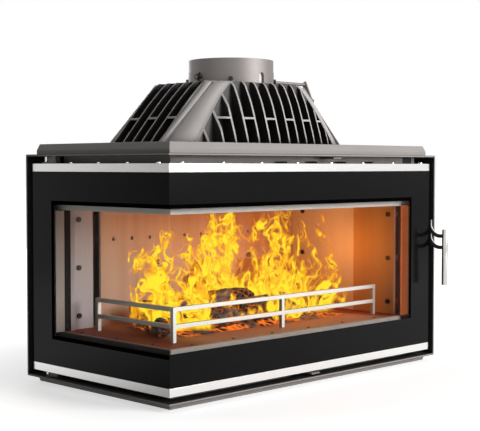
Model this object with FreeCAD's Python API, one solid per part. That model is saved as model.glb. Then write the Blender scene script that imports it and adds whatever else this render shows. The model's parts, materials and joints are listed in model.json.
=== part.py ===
"""Corner fireplace insert with a swinging glass corner door and a finned cast smoke hood.

Millimetres. +Z is up, the front pane faces -Y and the side pane faces -X. The origin is the centre
of the flange plates, on the surface that the base tray stands on.
"""
import FreeCAD
import Part
import math
import os

from FreeCAD import Vector

os.makedirs("parts", exist_ok=True)

# Overall plates and levels
plate_width = 876.0
plate_depth = 480.0
plate_gauge = 4.5
plate_overhang = 8.0
door_end_margin = 12.0
base_height = 12.5
foot_gap = 10.0
door_height = 460.0
head_gap = 15.5
cover_height = 23.0
hood_height = 141.0
collar_height = 57.0

# Sheet metal and small clearances
wall_gauge = 4.0
sheet_gauge = 3.0
touch = 0.3
running_fit = 0.05
screw_clearance = 0.3

# Base tray and top cover
tray_inset = 17.0
tray_taper = 3.0
cover_inset = 17.0
cover_taper = 5.0
cover_skirt = 9.0

# Door: glass, trims, rails and stiles
glass_gauge = 4.0
glass_bed = 0.5
trim_height = 18.0
trim_gauge = 2.0
rail_depth = 16.0
rail_height = 36.0
stile_width = 56.0
end_clearance = 2.0
gasket_width = 10.0

# Fixed frame behind the glass
seal_setback = 30.0
jamb_width = 31.0
right_jamb_inset = 40.0
rear_jamb_inset = 47.0
lintel_z = 385.0
lintel_height = 12.0
bar_depth = 8.0
bar_end_overlap = 17.0
hearth_z = 116.0
sill_height = 11.0
back_wall_inset = 20.0
flange_width = 68.0
tail_clearance = 1.5

# Linings, floor and baffle
lining_gauge = 7.0
back_space = 37.0
lining_front_gap = 25.0
end_panel_width = 58.0
end_panel_slot = 22.0
lining_height = 284.0
air_hole_radius = 4.5
air_hole_pitch = 55.0
air_hole_start = 37.0
air_hole_rise = 198.0
floor_gauge = 6.0
baffle_gauge = 25.0
smoke_gap = 90.0

# Grate and ash pan
grate_length = 270.0
grate_breadth = 190.0
grate_gauge = 12.0
grate_rim = 8.0
grate_lip = 4.0
grate_slot = 9.0
grate_bar = 11.0
grate_side_gap = 1.0
pan_height = 60.0
pan_gauge = 2.0
pan_side_gap = 6.0

# Log fence
fence_bar = 9.0
fence_setback = 86.0
fence_front_gap = 33.0
fence_side_gap = 37.0
fence_height = 74.0
fence_low_height = 38.0

# Hinges, latch and handle
hinge_inset = 38.0
pin_radius = 4.0
pin_tip_radius = 3.0
pin_reach = 22.0
leaf_gauge = 3.0
block_length = 28.0
block_offset = 14.0
block_width = 13.0
leaf_tail = 10.0
lever_gauge = 5.0
lever_gap = 1.0
pivot_z = 316.0
pivot_radius = 4.0
pivot_length = 34.0
lever_root = 24.0
arm_radius = 30.0
arm_width = 9.0
arm_spacing = 28.0
arm_rise = 13.5
bar_radius = 7.5
bar_length = 136.0
bar_drop = 126.0
bar_reach = 44.0
keeper_reach = 30.0
keeper_radius = 3.0
hook_drop = 0.6
hook_throat = 6.0
hook_gap = 1.0
hook_nose = 7.0
hook_depth = 10.0

# Smoke hood
flue_y = 34.0
hood_half_width = 292.0
hood_top_half_width = 156.0
hood_side_half = 79.0
hood_corner_x = 192.0
hood_corner_y = 150.0
hood_mid_y = 175.0
hood_top_corner_x = 98.0
hood_top_y = 113.0
hood_top_mid_y = 117.0
hood_wall = 6.0
side_straightness = 0.85
face_straightness = 0.5
hood_levels = (0.0, 0.3, 0.55, 0.75, 0.9, 0.97, 1.0)
fin_pitch = 31.5
fin_gauge = 4.5
front_fins = 14
side_fins = 4
recess_y = 127.0
recess_top_y = 113.0
recess_x = 152.0
recess_top_x = 146.0
web_rise = 55.0
web_gauge = 4.5
bead_radius = 9.0
bead_overrun = 0.1

# Flue collar and damper
collar_radius = 100.0
collar_wall = 5.0
neck_wall = 5.0
neck_height = 30.0
notch_width = 15.6
notch_height = 26.0
seat_length = 28.0
seat_step = 1.0
bolt_count = 4
bolt_rise = 9.0
bolt_head_radius = 6.0
hex_sides = 6
bolt_head_height = 5.0
bolt_radius = 3.5
shaft_rise = 15.0
shaft_radius = 4.0
shaft_left = 112.0
shaft_right = 263.0
flap_gauge = 3.0
flap_gap = 3.0
flap_groove = 1.0
nut_radius = 7.0
nut_height = 7.0
crank_length = 52.0
crank_width = 13.0
crank_gauge = 4.0
crank_tilt = 25.0

# Air sliders
slider_travel = 30.0
slider_gauge = 3.0
lever_width = 26.0
lever_thickness = 3.0
low_lever_x = -2.0
high_lever_x = 70.0
air_slot_length = 40.0
air_slot_height = 10.0
air_slot_pitch = 100.0
air_slots = 4
low_slot_gap = 12.0
high_slot_gap = 6.0
slot_edge = 4.0
duct_depth = 27.0

# Screws
screw_radius = 2.5
screw_head_radius = 4.5
screw_head_height = 2.5
front_screws = 8
side_screws = 4
screw_start = 45.0
front_screw_end = 21.5
side_screw_end = 129.5
trim_screw_depth = 12.0
lining_screw_radius = 3.0
lining_head_radius = 6.0
lining_head_height = 3.0
spacer_radius = 8.0
lining_screw_inset = 18.0
lining_screw_rise = 30.0
lining_screw_pitch = 108.0
back_screw_inset = 170.0

# Levels
plate_z = base_height + plate_gauge
door_low = plate_z + foot_gap
door_high = door_low + door_height
head_low = door_high + head_gap
head_high = head_low + plate_gauge
cover_high = head_high + cover_height
hood_high = cover_high + hood_height
collar_high = hood_high + collar_height
lining_high = hearth_z + lining_height
lintel_high = lintel_z + lintel_height
shaft_z = hood_high + shaft_rise
bar_low_z = pivot_z - bar_drop
screw_shank = trim_gauge + trim_screw_depth

# Planes
left = -plate_width / 2
right = plate_width / 2
front = -plate_depth / 2
rear = plate_depth / 2
glass_x = left + plate_overhang
glass_y = front + plate_overhang
door_right = right - door_end_margin
door_rear = rear - door_end_margin
seal_x = glass_x + seal_setback
seal_y = glass_y + seal_setback
rail_near = glass_gauge + glass_bed
rail_far = rail_near + rail_depth
jamb_right = door_right - right_jamb_inset
jamb_rear = door_rear - rear_jamb_inset
right_jamb_left = jamb_right - jamb_width
left_jamb_front = jamb_rear - jamb_width
wall_rear = door_rear - back_wall_inset
wall_back_face = wall_rear - wall_gauge
back_lining_face = wall_back_face - back_space - lining_gauge

# Door swing: the tail of the door turns past the post behind the hinge
hinge_x = glass_x + rail_near + rail_depth / 2
hinge_y = door_rear - hinge_inset
tail_radius = math.hypot(hinge_x - glass_x, hinge_inset)
post_left = hinge_x + tail_radius + tail_clearance
post_right = post_left + wall_gauge


def box(x0, x1, y0, y1, z0, z1):
    """A block between two corners."""
    return Part.makeBox(x1 - x0, y1 - y0, z1 - z0, Vector(x0, y0, z0))


def rod(radius, base, direction, length):
    """A round bar from a base point."""
    return Part.makeCylinder(radius, length, base, direction)


def prism(points, height):
    """A straight prism from an outline in a level plane."""
    outline = Part.makePolygon(points + points[:1])
    return Part.Face(outline).extrude(Vector(0, 0, height))


def fuse(shapes):
    """One solid from touching or overlapping solids."""
    return shapes[0].multiFuse(shapes[1:]).removeSplitter()


def save(name, shape):
    """One node to its own file."""
    shape.exportStep(f"parts/{name}.step")


def limb(side, near, far, end_gap, z0, z1):
    """A bar along one side of the corner door, mitred at the corner, between two setbacks."""
    x_near = glass_x + near
    x_far = glass_x + far
    y_near = glass_y + near
    y_far = glass_y + far
    if side == "front":
        end = door_right - end_gap
        outline = [(x_near, y_near), (end, y_near), (end, y_far), (x_far, y_far)]
    else:
        end = door_rear - end_gap
        outline = [(x_near, y_near), (x_far, y_far), (x_far, end), (x_near, end)]
    return prism([Vector(x, y, z0) for x, y in outline], z1 - z0)


def frustum(inset_low, inset_high, z0, z1):
    """A tapered block that follows the flange plates at two insets."""
    wires = []
    for inset, z in ((inset_low, z0), (inset_high, z1)):
        corners = [(left + inset, front + inset), (right - inset, front + inset),
                   (right - inset, rear - inset), (left + inset, rear - inset)]
        points = [Vector(x, y, z) for x, y in corners]
        wires.append(Part.makePolygon(points + points[:1]))
    return Part.makeLoft(wires, True, True)


def build_base():
    """Tray on the floor and the lower flange plate, with the lower hinge pin's hole."""
    tray = frustum(tray_inset + tray_taper, tray_inset, 0, base_height)
    inner = tray_inset + tray_taper + sheet_gauge
    save("base_tray", tray.cut(frustum(inner, inner, sheet_gauge, base_height)))
    plate = box(left, right, front, rear, base_height, plate_z)
    hole = rod(pin_radius, Vector(hinge_x, hinge_y, base_height), Vector(0, 0, 1), plate_gauge)
    save("bottom_plate", plate.cut(hole))


def smoke_opening(z0, z1):
    """The passage from the firebox into the hood."""
    half_x = recess_x - hood_wall
    half_y = recess_y - hood_wall
    return box(-half_x, half_x, flue_y - half_y, flue_y + half_y, z0, z1)


def build_top():
    """Upper flange plate and the cover with its bevelled rim."""
    plate = box(left, right, front, rear, head_low, head_high)
    hole = rod(pin_radius, Vector(hinge_x, hinge_y, head_low), Vector(0, 0, 1), plate_gauge)
    save("top_plate", plate.cut(hole).cut(smoke_opening(head_low, head_high)))
    bevel = cover_inset + cover_taper
    skirt_high = head_high + cover_skirt
    skirt = frustum(cover_inset, cover_inset, head_high, skirt_high)
    cover = fuse([skirt, frustum(cover_inset, bevel, skirt_high, cover_high)])
    inner = bevel + sheet_gauge
    hollow = frustum(inner, inner, head_high, cover_high - sheet_gauge)
    save("top_cover", cover.cut(hollow).cut(smoke_opening(head_high, cover_high)))


def build_flanges():
    """Upright flange plates at the two free ends of the door."""
    save("rear_flange", box(left, left + flange_width, rear - plate_gauge, rear, plate_z, head_low))
    save("right_flange", box(right - plate_gauge, right, front, front + flange_width, plate_z, head_low))


def build_walls():
    """Firebox back wall, right wall and the two jambs that the door closes on."""
    save("back_wall", box(post_left, jamb_right + wall_gauge, wall_back_face, wall_rear, plate_z, head_low))
    wall_front = seal_y + wall_gauge
    save("right_wall", box(jamb_right, jamb_right + wall_gauge, wall_front, wall_back_face,
                           plate_z, head_low))
    save("right_jamb", box(right_jamb_left, jamb_right + wall_gauge, seal_y, wall_front, plate_z, head_low))
    face = seal_x + wall_gauge
    turn = left_jamb_front + wall_gauge
    outline = [(seal_x, left_jamb_front), (post_right, left_jamb_front), (post_right, wall_back_face),
               (post_left, wall_back_face), (post_left, turn), (face, turn), (face, jamb_rear),
               (seal_x, jamb_rear)]
    save("left_jamb", prism([Vector(x, y, plate_z) for x, y in outline], head_low - plate_z))


def lever_slot(x, z0, z1):
    """The cut that a lever travels in."""
    reach = lever_width / 2 + slider_travel + end_clearance
    return box(x - reach, x + reach, seal_y, seal_y + sheet_gauge, z0, z1)


def air_cuts(x, y0, y1, z):
    """A row of air slots about a lever's place."""
    cuts = []
    for index in range(air_slots):
        middle = x + (index - (air_slots - 1) / 2) * air_slot_pitch
        cuts.append(box(middle - air_slot_length / 2, middle + air_slot_length / 2,
                        y0, y1, z, z + air_slot_height))
    return cuts


low_lever_z = plate_z + (foot_gap - lever_thickness) / 2
low_air_z = low_lever_z + lever_thickness + low_slot_gap
high_lever_z = head_low - end_clearance - lever_thickness
high_air_z = high_lever_z - high_slot_gap - air_slot_height


def build_frame_bars():
    """Aprons, lintel bars and sill bars round the two open sides of the firebox."""
    apron_far = seal_setback + sheet_gauge
    bar_near = seal_setback - bar_depth
    back = seal_y + sheet_gauge
    for side, inset in (("front", right_jamb_inset), ("side", rear_jamb_inset)):
        frame_end = inset + jamb_width
        bar_end = frame_end - bar_end_overlap
        apron = limb(side, seal_setback, apron_far, frame_end, lintel_z, head_low)
        low_apron = limb(side, seal_setback, apron_far, frame_end, plate_z, hearth_z)
        if side == "front":
            apron = apron.cut(lever_slot(high_lever_x, high_lever_z - touch, head_low))
            apron = apron.cut(air_cuts(high_lever_x, seal_y, back, high_air_z))
            slot_top = low_lever_z + lever_thickness + touch
            low_apron = low_apron.cut(lever_slot(low_lever_x, plate_z, slot_top))
            low_apron = low_apron.cut(air_cuts(low_lever_x, seal_y, back, low_air_z))
        save(f"{side}_apron", apron)
        save(f"{side}_lower_apron", low_apron)
        save(f"{side}_lintel", limb(side, bar_near, seal_setback, bar_end, lintel_z, lintel_high))
        save(f"{side}_sill", limb(side, bar_near, seal_setback, bar_end, hearth_z - sill_height, hearth_z))


def build_floor():
    """Floor plate, stepped for the grate, with the ash pan below it."""
    inner_x = seal_x + sheet_gauge
    inner_y = seal_y + sheet_gauge
    floor_low = hearth_z - floor_gauge
    plate = box(inner_x, jamb_right, inner_y, left_jamb_front, floor_low, hearth_z)
    rear_part = box(post_right, jamb_right, left_jamb_front, wall_back_face, floor_low, hearth_z)
    jamb_notch = box(right_jamb_left, jamb_right, inner_y, seal_y + wall_gauge, floor_low, hearth_z)
    plate = fuse([plate.cut(jamb_notch), rear_part])
    half_x = grate_length / 2 + grate_side_gap
    half_y = grate_breadth / 2 + grate_side_gap
    well = box(-half_x, half_x, -half_y, half_y, hearth_z - grate_lip, hearth_z)
    throat_x = half_x - grate_rim
    throat_y = half_y - grate_rim
    throat = box(-throat_x, throat_x, -throat_y, throat_y, floor_low, hearth_z)
    save("floor_plate", plate.cut(well).cut(throat))
    build_grate(throat_x - grate_side_gap, throat_y - grate_side_gap)
    pan_x = throat_x - pan_side_gap
    pan_y = throat_y - pan_side_gap
    pan = box(-pan_x, pan_x, -pan_y, pan_y, plate_z, plate_z + pan_height)
    hollow = box(-pan_x + pan_gauge, pan_x - pan_gauge, -pan_y + pan_gauge, pan_y - pan_gauge,
                 plate_z + pan_gauge, plate_z + pan_height)
    save("ash_pan", pan.cut(hollow))


def build_grate(half_x, half_y):
    """Loose cast grate: a lip that rests in the floor's step and a slotted body below it."""
    lip_low = hearth_z - grate_lip + touch
    lip = box(-grate_length / 2, grate_length / 2, -grate_breadth / 2, grate_breadth / 2, lip_low, hearth_z)
    body = box(-half_x, half_x, -half_y, half_y, hearth_z - grate_gauge, hearth_z)
    pitch = grate_slot + grate_bar
    count = int((2 * half_x - 2 * grate_rim) / pitch)
    slots = []
    for index in range(count):
        middle = (index - (count - 1) / 2) * pitch
        slots.append(box(middle - grate_slot / 2, middle + grate_slot / 2, -half_y + grate_rim,
                         half_y - grate_rim, hearth_z - grate_gauge, hearth_z))
    save("grate", fuse([lip, body]).cut(slots))


def lining_screw(point, direction, depth):
    """A round-headed screw whose head sits on the lining's face."""
    head = rod(lining_head_radius, point - direction * lining_head_height, direction, lining_head_height)
    return fuse([head, rod(lining_screw_radius, point, direction, depth)])


def lining_spacer(point, direction, length):
    """A tube between a lining and the wall behind it."""
    tube = rod(spacer_radius, point, direction, length)
    return tube.cut(rod(lining_screw_radius + screw_clearance, point, direction, length))


def build_linings():
    """Back lining, right lining and end panel, on spacers, with their screws."""
    rearward = Vector(0, 1, 0)
    rightward = Vector(1, 0, 0)
    end_left = post_right
    back_left = end_left + end_panel_width + end_panel_slot
    lining_right = right_jamb_left + lining_gauge
    lining_front = seal_y + lining_front_gap
    levels = [hearth_z + lining_screw_rise + lining_screw_pitch * k for k in range(3)]
    back_y = back_lining_face + lining_gauge
    end_x = end_left + lining_screw_inset
    panels = {
        "back_lining": box(back_left, right_jamb_left, back_lining_face, back_y, hearth_z, lining_high),
        "end_panel": box(end_left, end_left + end_panel_width, back_lining_face, back_y,
                         hearth_z, lining_high),
        "right_lining": box(right_jamb_left, lining_right, lining_front, back_y, hearth_z, lining_high),
    }
    back_xs = [back_left + back_screw_inset, right_jamb_left - back_screw_inset]
    side_ys = [lining_front + lining_screw_inset, back_lining_face - 2 * lining_screw_inset]
    points = {
        "back_lining": [(Vector(x, back_lining_face, z), rearward, back_space)
                        for x in back_xs for z in levels[:2]],
        "end_panel": [(Vector(end_x, back_lining_face, z), rearward, back_space) for z in levels],
        "right_lining": [(Vector(right_jamb_left, y, z), rightward, jamb_width - lining_gauge)
                         for y in side_ys for z in levels],
    }
    screws = []
    spacers = []
    for name, panel in panels.items():
        for point, way, space in points[name]:
            panel = panel.cut(rod(lining_screw_radius + screw_clearance, point, way, lining_gauge))
            screws.append(lining_screw(point, way, lining_gauge + space))
            spacers.append(lining_spacer(point + way * lining_gauge, way, space))
        if name == "back_lining":
            panel = panel.cut(air_holes(back_left))
        save(name, panel)
    save("lining_screws", Part.makeCompound(screws))
    save("lining_spacers", Part.makeCompound(spacers))
    save("baffle", box(post_right, jamb_right, seal_y + smoke_gap, wall_back_face,
                       lining_high, lining_high + baffle_gauge))


def air_holes(back_left):
    """The row of air holes across the back lining."""
    holes = []
    x = back_left + air_hole_start
    while x < right_jamb_left - air_hole_pitch:
        start = Vector(x, back_lining_face, hearth_z + air_hole_rise)
        holes.append(rod(air_hole_radius, start, Vector(0, 1, 0), lining_gauge))
        x += air_hole_pitch
    return holes


def post(x, y):
    """An upright of the log fence."""
    return box(x, x + fence_bar, y, y + fence_bar, hearth_z, hearth_z + fence_height)


def build_fence():
    """Log fence of square bar along the two open sides."""
    x0 = glass_x + fence_setback
    y0 = glass_y + fence_setback
    x1 = right_jamb_left - fence_front_gap
    y1 = left_jamb_front - fence_side_gap
    middle = (x0 + x1 - fence_bar) / 2
    tops = [hearth_z + fence_low_height, hearth_z + fence_height]
    rails = [box(x0, x1, y0, y0 + fence_bar, top - fence_bar, top) for top in tops]
    posts = [post(x0, y0), post(middle, y0), post(x1 - fence_bar, y0)]
    save("fence_front", fuse(rails + posts))
    side_rails = [box(x0, x0 + fence_bar, y0 + fence_bar, y1, top - fence_bar, top) for top in tops]
    save("fence_side", fuse(side_rails + [post(x0, y1 - fence_bar)]))


def pin_hole(z0, z1):
    """The running hole in the door for a hinge pin's tip."""
    radius = pin_tip_radius + running_fit
    return rod(radius, Vector(hinge_x, hinge_y, z0), Vector(0, 0, 1), z1 - z0)


def build_door():
    """Panes, trims, rails and stiles of the corner door."""
    glass_low = door_low + trim_height
    glass_high = door_high - trim_height
    low_rail = door_low + trim_gauge
    high_rail = door_high - trim_gauge
    holes = trim_screw_holes()
    for side in ("front", "side"):
        save(f"{side}_glass", limb(side, 0, glass_gauge, 0, glass_low, glass_high))
        low_leg = limb(side, 0, rail_far, 0, door_low, low_rail)
        high_leg = limb(side, 0, rail_far, 0, high_rail, door_high)
        low_trim = fuse([limb(side, 0, trim_gauge, 0, door_low, glass_low), low_leg])
        high_trim = fuse([limb(side, 0, trim_gauge, 0, glass_high, door_high), high_leg])
        low_bar = limb(side, rail_near, rail_far, end_clearance, low_rail, low_rail + rail_height)
        high_bar = limb(side, rail_near, rail_far, end_clearance, high_rail - rail_height, high_rail)
        cuts = holes[side]
        if side == "side":
            cuts = cuts + [pin_hole(door_low, door_low + pin_reach)]
            cuts = cuts + [pin_hole(door_high - pin_reach, door_high)]
        save(f"{side}_bottom_trim", low_trim.cut(cuts))
        save(f"{side}_top_trim", high_trim.cut(cuts))
        save(f"{side}_bottom_rail", low_bar.cut(cuts))
        save(f"{side}_top_rail", high_bar.cut(cuts))
    low = low_rail + rail_height
    high = high_rail - rail_height
    hinge_front = door_rear - end_clearance - stile_width
    save("hinge_stile", box(glass_x + rail_near, glass_x + rail_far, hinge_front, door_rear - end_clearance,
                            low, high))
    stile_right = door_right - end_clearance
    stile = box(stile_right - stile_width, stile_right, glass_y + rail_near, glass_y + rail_far, low, high)
    bore_start = Vector(stile_right - pivot_length, pivot_y, pivot_z)
    bore = rod(pivot_radius + running_fit, bore_start, Vector(1, 0, 0), pivot_length)
    save("handle_stile", stile.cut(bore))
    build_gasket(low, high)


def build_gasket(low, high):
    """Rope gasket between the door frame and the sealing faces of the firebox."""
    far = seal_setback - touch
    ends = {"front": right_jamb_inset + gasket_width, "side": rear_jamb_inset + gasket_width}
    pieces = []
    for side, end in ends.items():
        pieces.append(limb(side, rail_far, far, end, low - gasket_width, low))
        pieces.append(limb(side, rail_far, far, end, high, high + gasket_width))
    right_x = door_right - ends["front"]
    rear_y = door_rear - ends["side"]
    depth_y0 = glass_y + rail_far
    depth_x0 = glass_x + rail_far
    pieces.append(box(right_x, right_x + gasket_width, depth_y0, glass_y + far, low - gasket_width,
                      high + gasket_width))
    pieces.append(box(depth_x0, glass_x + far, rear_y, rear_y + gasket_width, low - gasket_width,
                      high + gasket_width))
    save("door_gasket", Part.makeCompound(pieces))


def trim_screw_places():
    """Screw centres along each side of the door."""
    inward = rail_near + rail_depth / 2
    front_pitch = (door_right - front_screw_end - glass_x - screw_start) / (front_screws - 1)
    side_pitch = (door_rear - side_screw_end - glass_y - screw_start) / (side_screws - 1)
    fronts = [(glass_x + screw_start + front_pitch * k, glass_y + inward) for k in range(front_screws)]
    sides = [(glass_x + inward, glass_y + screw_start + side_pitch * k) for k in range(side_screws)]
    return {"front": fronts, "side": sides}


def trim_screw_holes():
    """Clearance holes for the trim screws, above and below."""
    radius = screw_radius + screw_clearance / 2
    up = Vector(0, 0, 1)
    holes = {}
    for side, places in trim_screw_places().items():
        holes[side] = []
        for x, y in places:
            holes[side].append(rod(radius, Vector(x, y, door_low), up, screw_shank))
            holes[side].append(rod(radius, Vector(x, y, door_high - screw_shank), up, screw_shank))
    return holes


def build_trim_screws():
    """Screws through the trims into the rails."""
    up = Vector(0, 0, 1)
    screws = []
    for places in trim_screw_places().values():
        for x, y in places:
            for seat, way in ((Vector(x, y, door_low), up), (Vector(x, y, door_high), up * -1)):
                shank = rod(screw_radius, seat, way, screw_shank)
                head = rod(screw_head_radius, seat, way * -1, screw_head_height)
                screws.append(fuse([shank, head]))
    save("trim_screws", Part.makeCompound(screws))


def hinge_block(seat, way, gap):
    """A block and leaf on the door that the hinge pin enters."""
    half = block_width / 2
    block_rear = hinge_y - block_offset
    height = gap - 2 * touch
    tall = sorted((seat, seat + way * height))
    low = sorted((seat, seat + way * leaf_gauge))
    block = box(hinge_x - half, hinge_x + half, block_rear - block_length, block_rear, tall[0], tall[1])
    leaf = box(hinge_x - half, hinge_x + half, block_rear, hinge_y + leaf_tail, low[0], low[1])
    return fuse([block, leaf]).cut(pin_hole(low[0], low[1]))


def build_hinges():
    """Hinge blocks on the door and the pins in the flange plates."""
    blocks = [hinge_block(door_low, -1, foot_gap), hinge_block(door_high, 1, head_gap)]
    save("hinge_blocks", Part.makeCompound(blocks))
    up = Vector(0, 0, 1)
    axis = Vector(hinge_x, hinge_y, 0)
    low_shoulder = door_low - leaf_gauge - touch
    high_shoulder = door_high + leaf_gauge + touch
    low_pin = fuse([
        rod(pin_radius, axis + up * base_height, up, low_shoulder - base_height),
        rod(pin_tip_radius, axis + up * low_shoulder, up, door_low + pin_reach - touch - low_shoulder)])
    high_pin = fuse([
        rod(pin_tip_radius, axis + up * (door_high - pin_reach + touch), up,
            high_shoulder - door_high + pin_reach - touch),
        rod(pin_radius, axis + up * high_shoulder, up, head_high - high_shoulder)])
    save("hinge_pins", Part.makeCompound([low_pin, high_pin]))


pivot_y = glass_y + rail_near + rail_depth / 2
keeper_y = pivot_y + keeper_reach
keeper_z = pivot_z
bar_y = glass_y - bar_reach


def arm(z_top):
    """A quarter-round flat arm from the lever's root out to the handle bar."""
    centre_y = glass_y - arm_radius
    x0 = door_right + lever_gap
    outer = arm_radius + arm_width / 2
    inner = arm_radius - arm_width / 2
    axis = Vector(1, 0, 0)
    start = Vector(x0, centre_y, z_top)
    ring = rod(outer, start, axis, lever_gauge).cut(rod(inner, start, axis, lever_gauge))
    quarter = box(x0, x0 + lever_gauge, centre_y, centre_y + outer, z_top - outer, z_top)
    bend = ring.common(quarter)
    low = z_top - outer
    foot = box(x0, x0 + lever_gauge, bar_y, centre_y, low, low + arm_width)
    root = box(x0, x0 + lever_gauge, centre_y + inner, glass_y + rail_near, z_top, z_top + arm_width)
    return fuse([bend, foot, root])


def build_handle():
    """Handle bar, lever with its two arms and hook, pivot pin, and the keeper on the flange."""
    x0 = door_right + lever_gap
    x1 = x0 + lever_gauge
    middle = (x0 + x1) / 2
    top_arm = bar_low_z + bar_length + arm_rise
    low_arm = top_arm - arm_spacing
    nose_front = keeper_y + keeper_radius + hook_gap
    nose_rear = nose_front + hook_nose
    nose_top = keeper_z - keeper_radius - hook_drop
    throat = nose_top - hook_throat
    hub = box(x0, x1, glass_y, pivot_y + lever_root / 2, low_arm - arm_width, top_arm + arm_width)
    hook = box(x0, x1, pivot_y, nose_rear, throat - hook_depth, throat)
    nose = box(x0, x1, nose_front, nose_rear, throat, nose_top)
    lever = fuse([hub, hook, nose, arm(top_arm), arm(low_arm)])
    axis = Vector(1, 0, 0)
    bore = rod(pivot_radius, Vector(x0, pivot_y, pivot_z), axis, lever_gauge)
    bar = rod(bar_radius, Vector(middle, bar_y, bar_low_z), Vector(0, 0, 1), bar_length)
    save("handle_lever", lever.cut(bore).cut(bar))
    save("handle_bar", bar)
    pivot_left = door_right - end_clearance - pivot_length + touch
    save("handle_pivot", rod(pivot_radius, Vector(pivot_left, pivot_y, pivot_z), axis, x1 - pivot_left))
    flange_face = right - plate_gauge
    save("latch_keeper", rod(keeper_radius, Vector(x0, keeper_y, keeper_z), axis, flange_face - x0))


def hood_section(t):
    """A level outline of the hood: t runs from 0 at its foot to 1 at its top."""
    shoulder = 1 - math.sqrt(max(0.0, 1 - t * t))
    side = side_straightness * t + (1 - side_straightness) * shoulder
    face = face_straightness * t + (1 - face_straightness) * shoulder
    half_x = hood_half_width + (hood_top_half_width - hood_half_width) * side
    corner_x = hood_corner_x + (hood_top_corner_x - hood_corner_x) * side
    corner_y = hood_corner_y + (hood_top_y - hood_corner_y) * face
    mid_y = hood_mid_y + (hood_top_mid_y - hood_mid_y) * face
    return half_x, corner_x, corner_y, mid_y


def hood_wire(t, inset):
    """The closed outline at one level, drawn in by an inset."""
    half_x, corner_x, corner_y, mid_y = [size - inset for size in hood_section(t)]
    side_y = hood_side_half - inset / 2
    z = cover_high + hood_height * t
    edges = []
    quarters = ((1, 1), (-1, 1), (-1, -1), (1, -1))
    corners = []
    for sx, sy in quarters:
        hip = Vector(sx * half_x, flue_y + sy * side_y, z)
        shoulder = Vector(sx * corner_x, flue_y + sy * corner_y, z)
        corners.append((hip, shoulder) if sx == sy else (shoulder, hip))
    for index, (start, end) in enumerate(corners):
        edges.append(Part.makeLine(start, end))
        following = corners[(index + 1) % len(corners)][0]
        if index % 2 == 0:
            sy = quarters[index][1]
            middle = Vector(0, flue_y + sy * mid_y, z)
            edges.append(Part.Arc(end, middle, following).toShape())
        else:
            edges.append(Part.makeLine(end, following))
    return Part.Wire(edges)


def hood_body(inset, top):
    """The hood's envelope, or the space inside its wall."""
    wires = [hood_wire(t * top, inset) for t in hood_levels]
    return Part.makeLoft(wires, True, False)


def recess_block(lengthwise, way, middle, half, span, back):
    """What lies outside a sloping recess wall, less a setback, between two levels."""
    foot, top = (recess_y, recess_top_y) if lengthwise else (recess_x, recess_top_x)
    nears = [foot + (top - foot) * (z - cover_high) / hood_height - back for z in span]
    far = 2 * hood_half_width
    profile = [(nears[0], span[0]), (far, span[0]), (far, span[1]), (nears[1], span[1])]
    if lengthwise:
        points = [Vector(middle - half, flue_y + way * reach, z) for reach, z in profile]
        along = Vector(2 * half, 0, 0)
    else:
        points = [Vector(way * reach, flue_y + middle - half, z) for reach, z in profile]
        along = Vector(0, 2 * half, 0)
    return Part.Face(Part.makePolygon(points + points[:1])).extrude(along)


def fin_slots(count, lengthwise):
    """The spaces between the fins of one pair of faces, split by webs in every other space."""
    gap = fin_pitch - fin_gauge
    web_low = cover_high + web_rise
    slots = []
    for index in range(count + 1):
        middle = (index - count / 2) * fin_pitch
        spans = [(cover_high, hood_high)]
        if index % 2 == 0:
            spans = [(cover_high, web_low), (web_low + web_gauge, hood_high)]
        for z0, z1 in spans:
            for way in (-1, 1):
                slots.append(recess_block(lengthwise, way, middle, gap / 2, (z0, z1), 0))
    return slots


def hood_cavity():
    """The smoke space inside the hood, kept a wall away from the recesses."""
    roof = 1 - hood_wall / hood_height
    cavity = hood_body(hood_wall, roof)
    half_front = (front_fins + 1) / 2 * fin_pitch + hood_wall
    half_side = (side_fins + 1) / 2 * fin_pitch + hood_wall
    span = (cover_high, hood_high)
    blocks = []
    for way in (-1, 1):
        blocks.append(recess_block(True, way, 0, half_front, span, hood_wall))
        blocks.append(recess_block(False, way, 0, half_side, span, hood_wall))
    return cavity.cut(blocks)


def hood_beads():
    """Round beads down the hips, beside the side fins."""
    beads = []
    foot = hood_half_width - bead_radius / 2
    top = hood_top_half_width - bead_radius
    for sx in (-1, 1):
        for sy in (-1, 1):
            y = flue_y + sy * (hood_side_half + bead_radius / 2)
            low = Vector(sx * foot, y, cover_high)
            way = Vector(sx * top, y, hood_high) - low
            length = way.Length * (1 + 2 * bead_overrun)
            beads.append(rod(bead_radius, low - way * bead_overrun, way, length))
    return beads


def build_hood():
    """Finned cast hood with the neck that carries the collar and the damper shaft."""
    envelope = hood_body(0, 1.0)
    slab = box(-plate_width, plate_width, -plate_depth, plate_depth, cover_high, hood_high - hood_wall / 2)
    beads = [bead.common(slab) for bead in hood_beads()]
    hood = envelope.multiFuse(beads)
    hood = hood.cut(fin_slots(front_fins, True) + fin_slots(side_fins, False))
    up = Vector(0, 0, 1)
    neck_radius = collar_radius - collar_wall - touch
    foot = Vector(0, flue_y, hood_high - hood_wall)
    neck = rod(neck_radius, foot, up, hood_wall + neck_height)
    bore = rod(neck_radius - neck_wall, foot, up, hood_wall + neck_height)
    hood = hood.cut(hood_cavity()).fuse(neck).cut(bore)
    axis = Vector(1, 0, 0)
    shaft = rod(shaft_radius + running_fit, Vector(-collar_radius, flue_y, shaft_z), axis, 2 * collar_radius)
    bolts = [rod(bolt_radius, start, way, collar_wall + neck_wall + 2 * touch)
             for start, way in bolt_places(collar_radius)]
    save("smoke_hood", hood.cut([shaft] + bolts))


def bolt_places(radius):
    """Points and inward directions of the collar bolts, on the diagonals."""
    places = []
    for index in range(bolt_count):
        angle = 2 * math.pi * (index + 0.5) / bolt_count
        out = Vector(math.cos(angle), math.sin(angle), 0)
        places.append((Vector(0, flue_y, hood_high + bolt_rise) + out * radius, out * -1))
    return places


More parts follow.
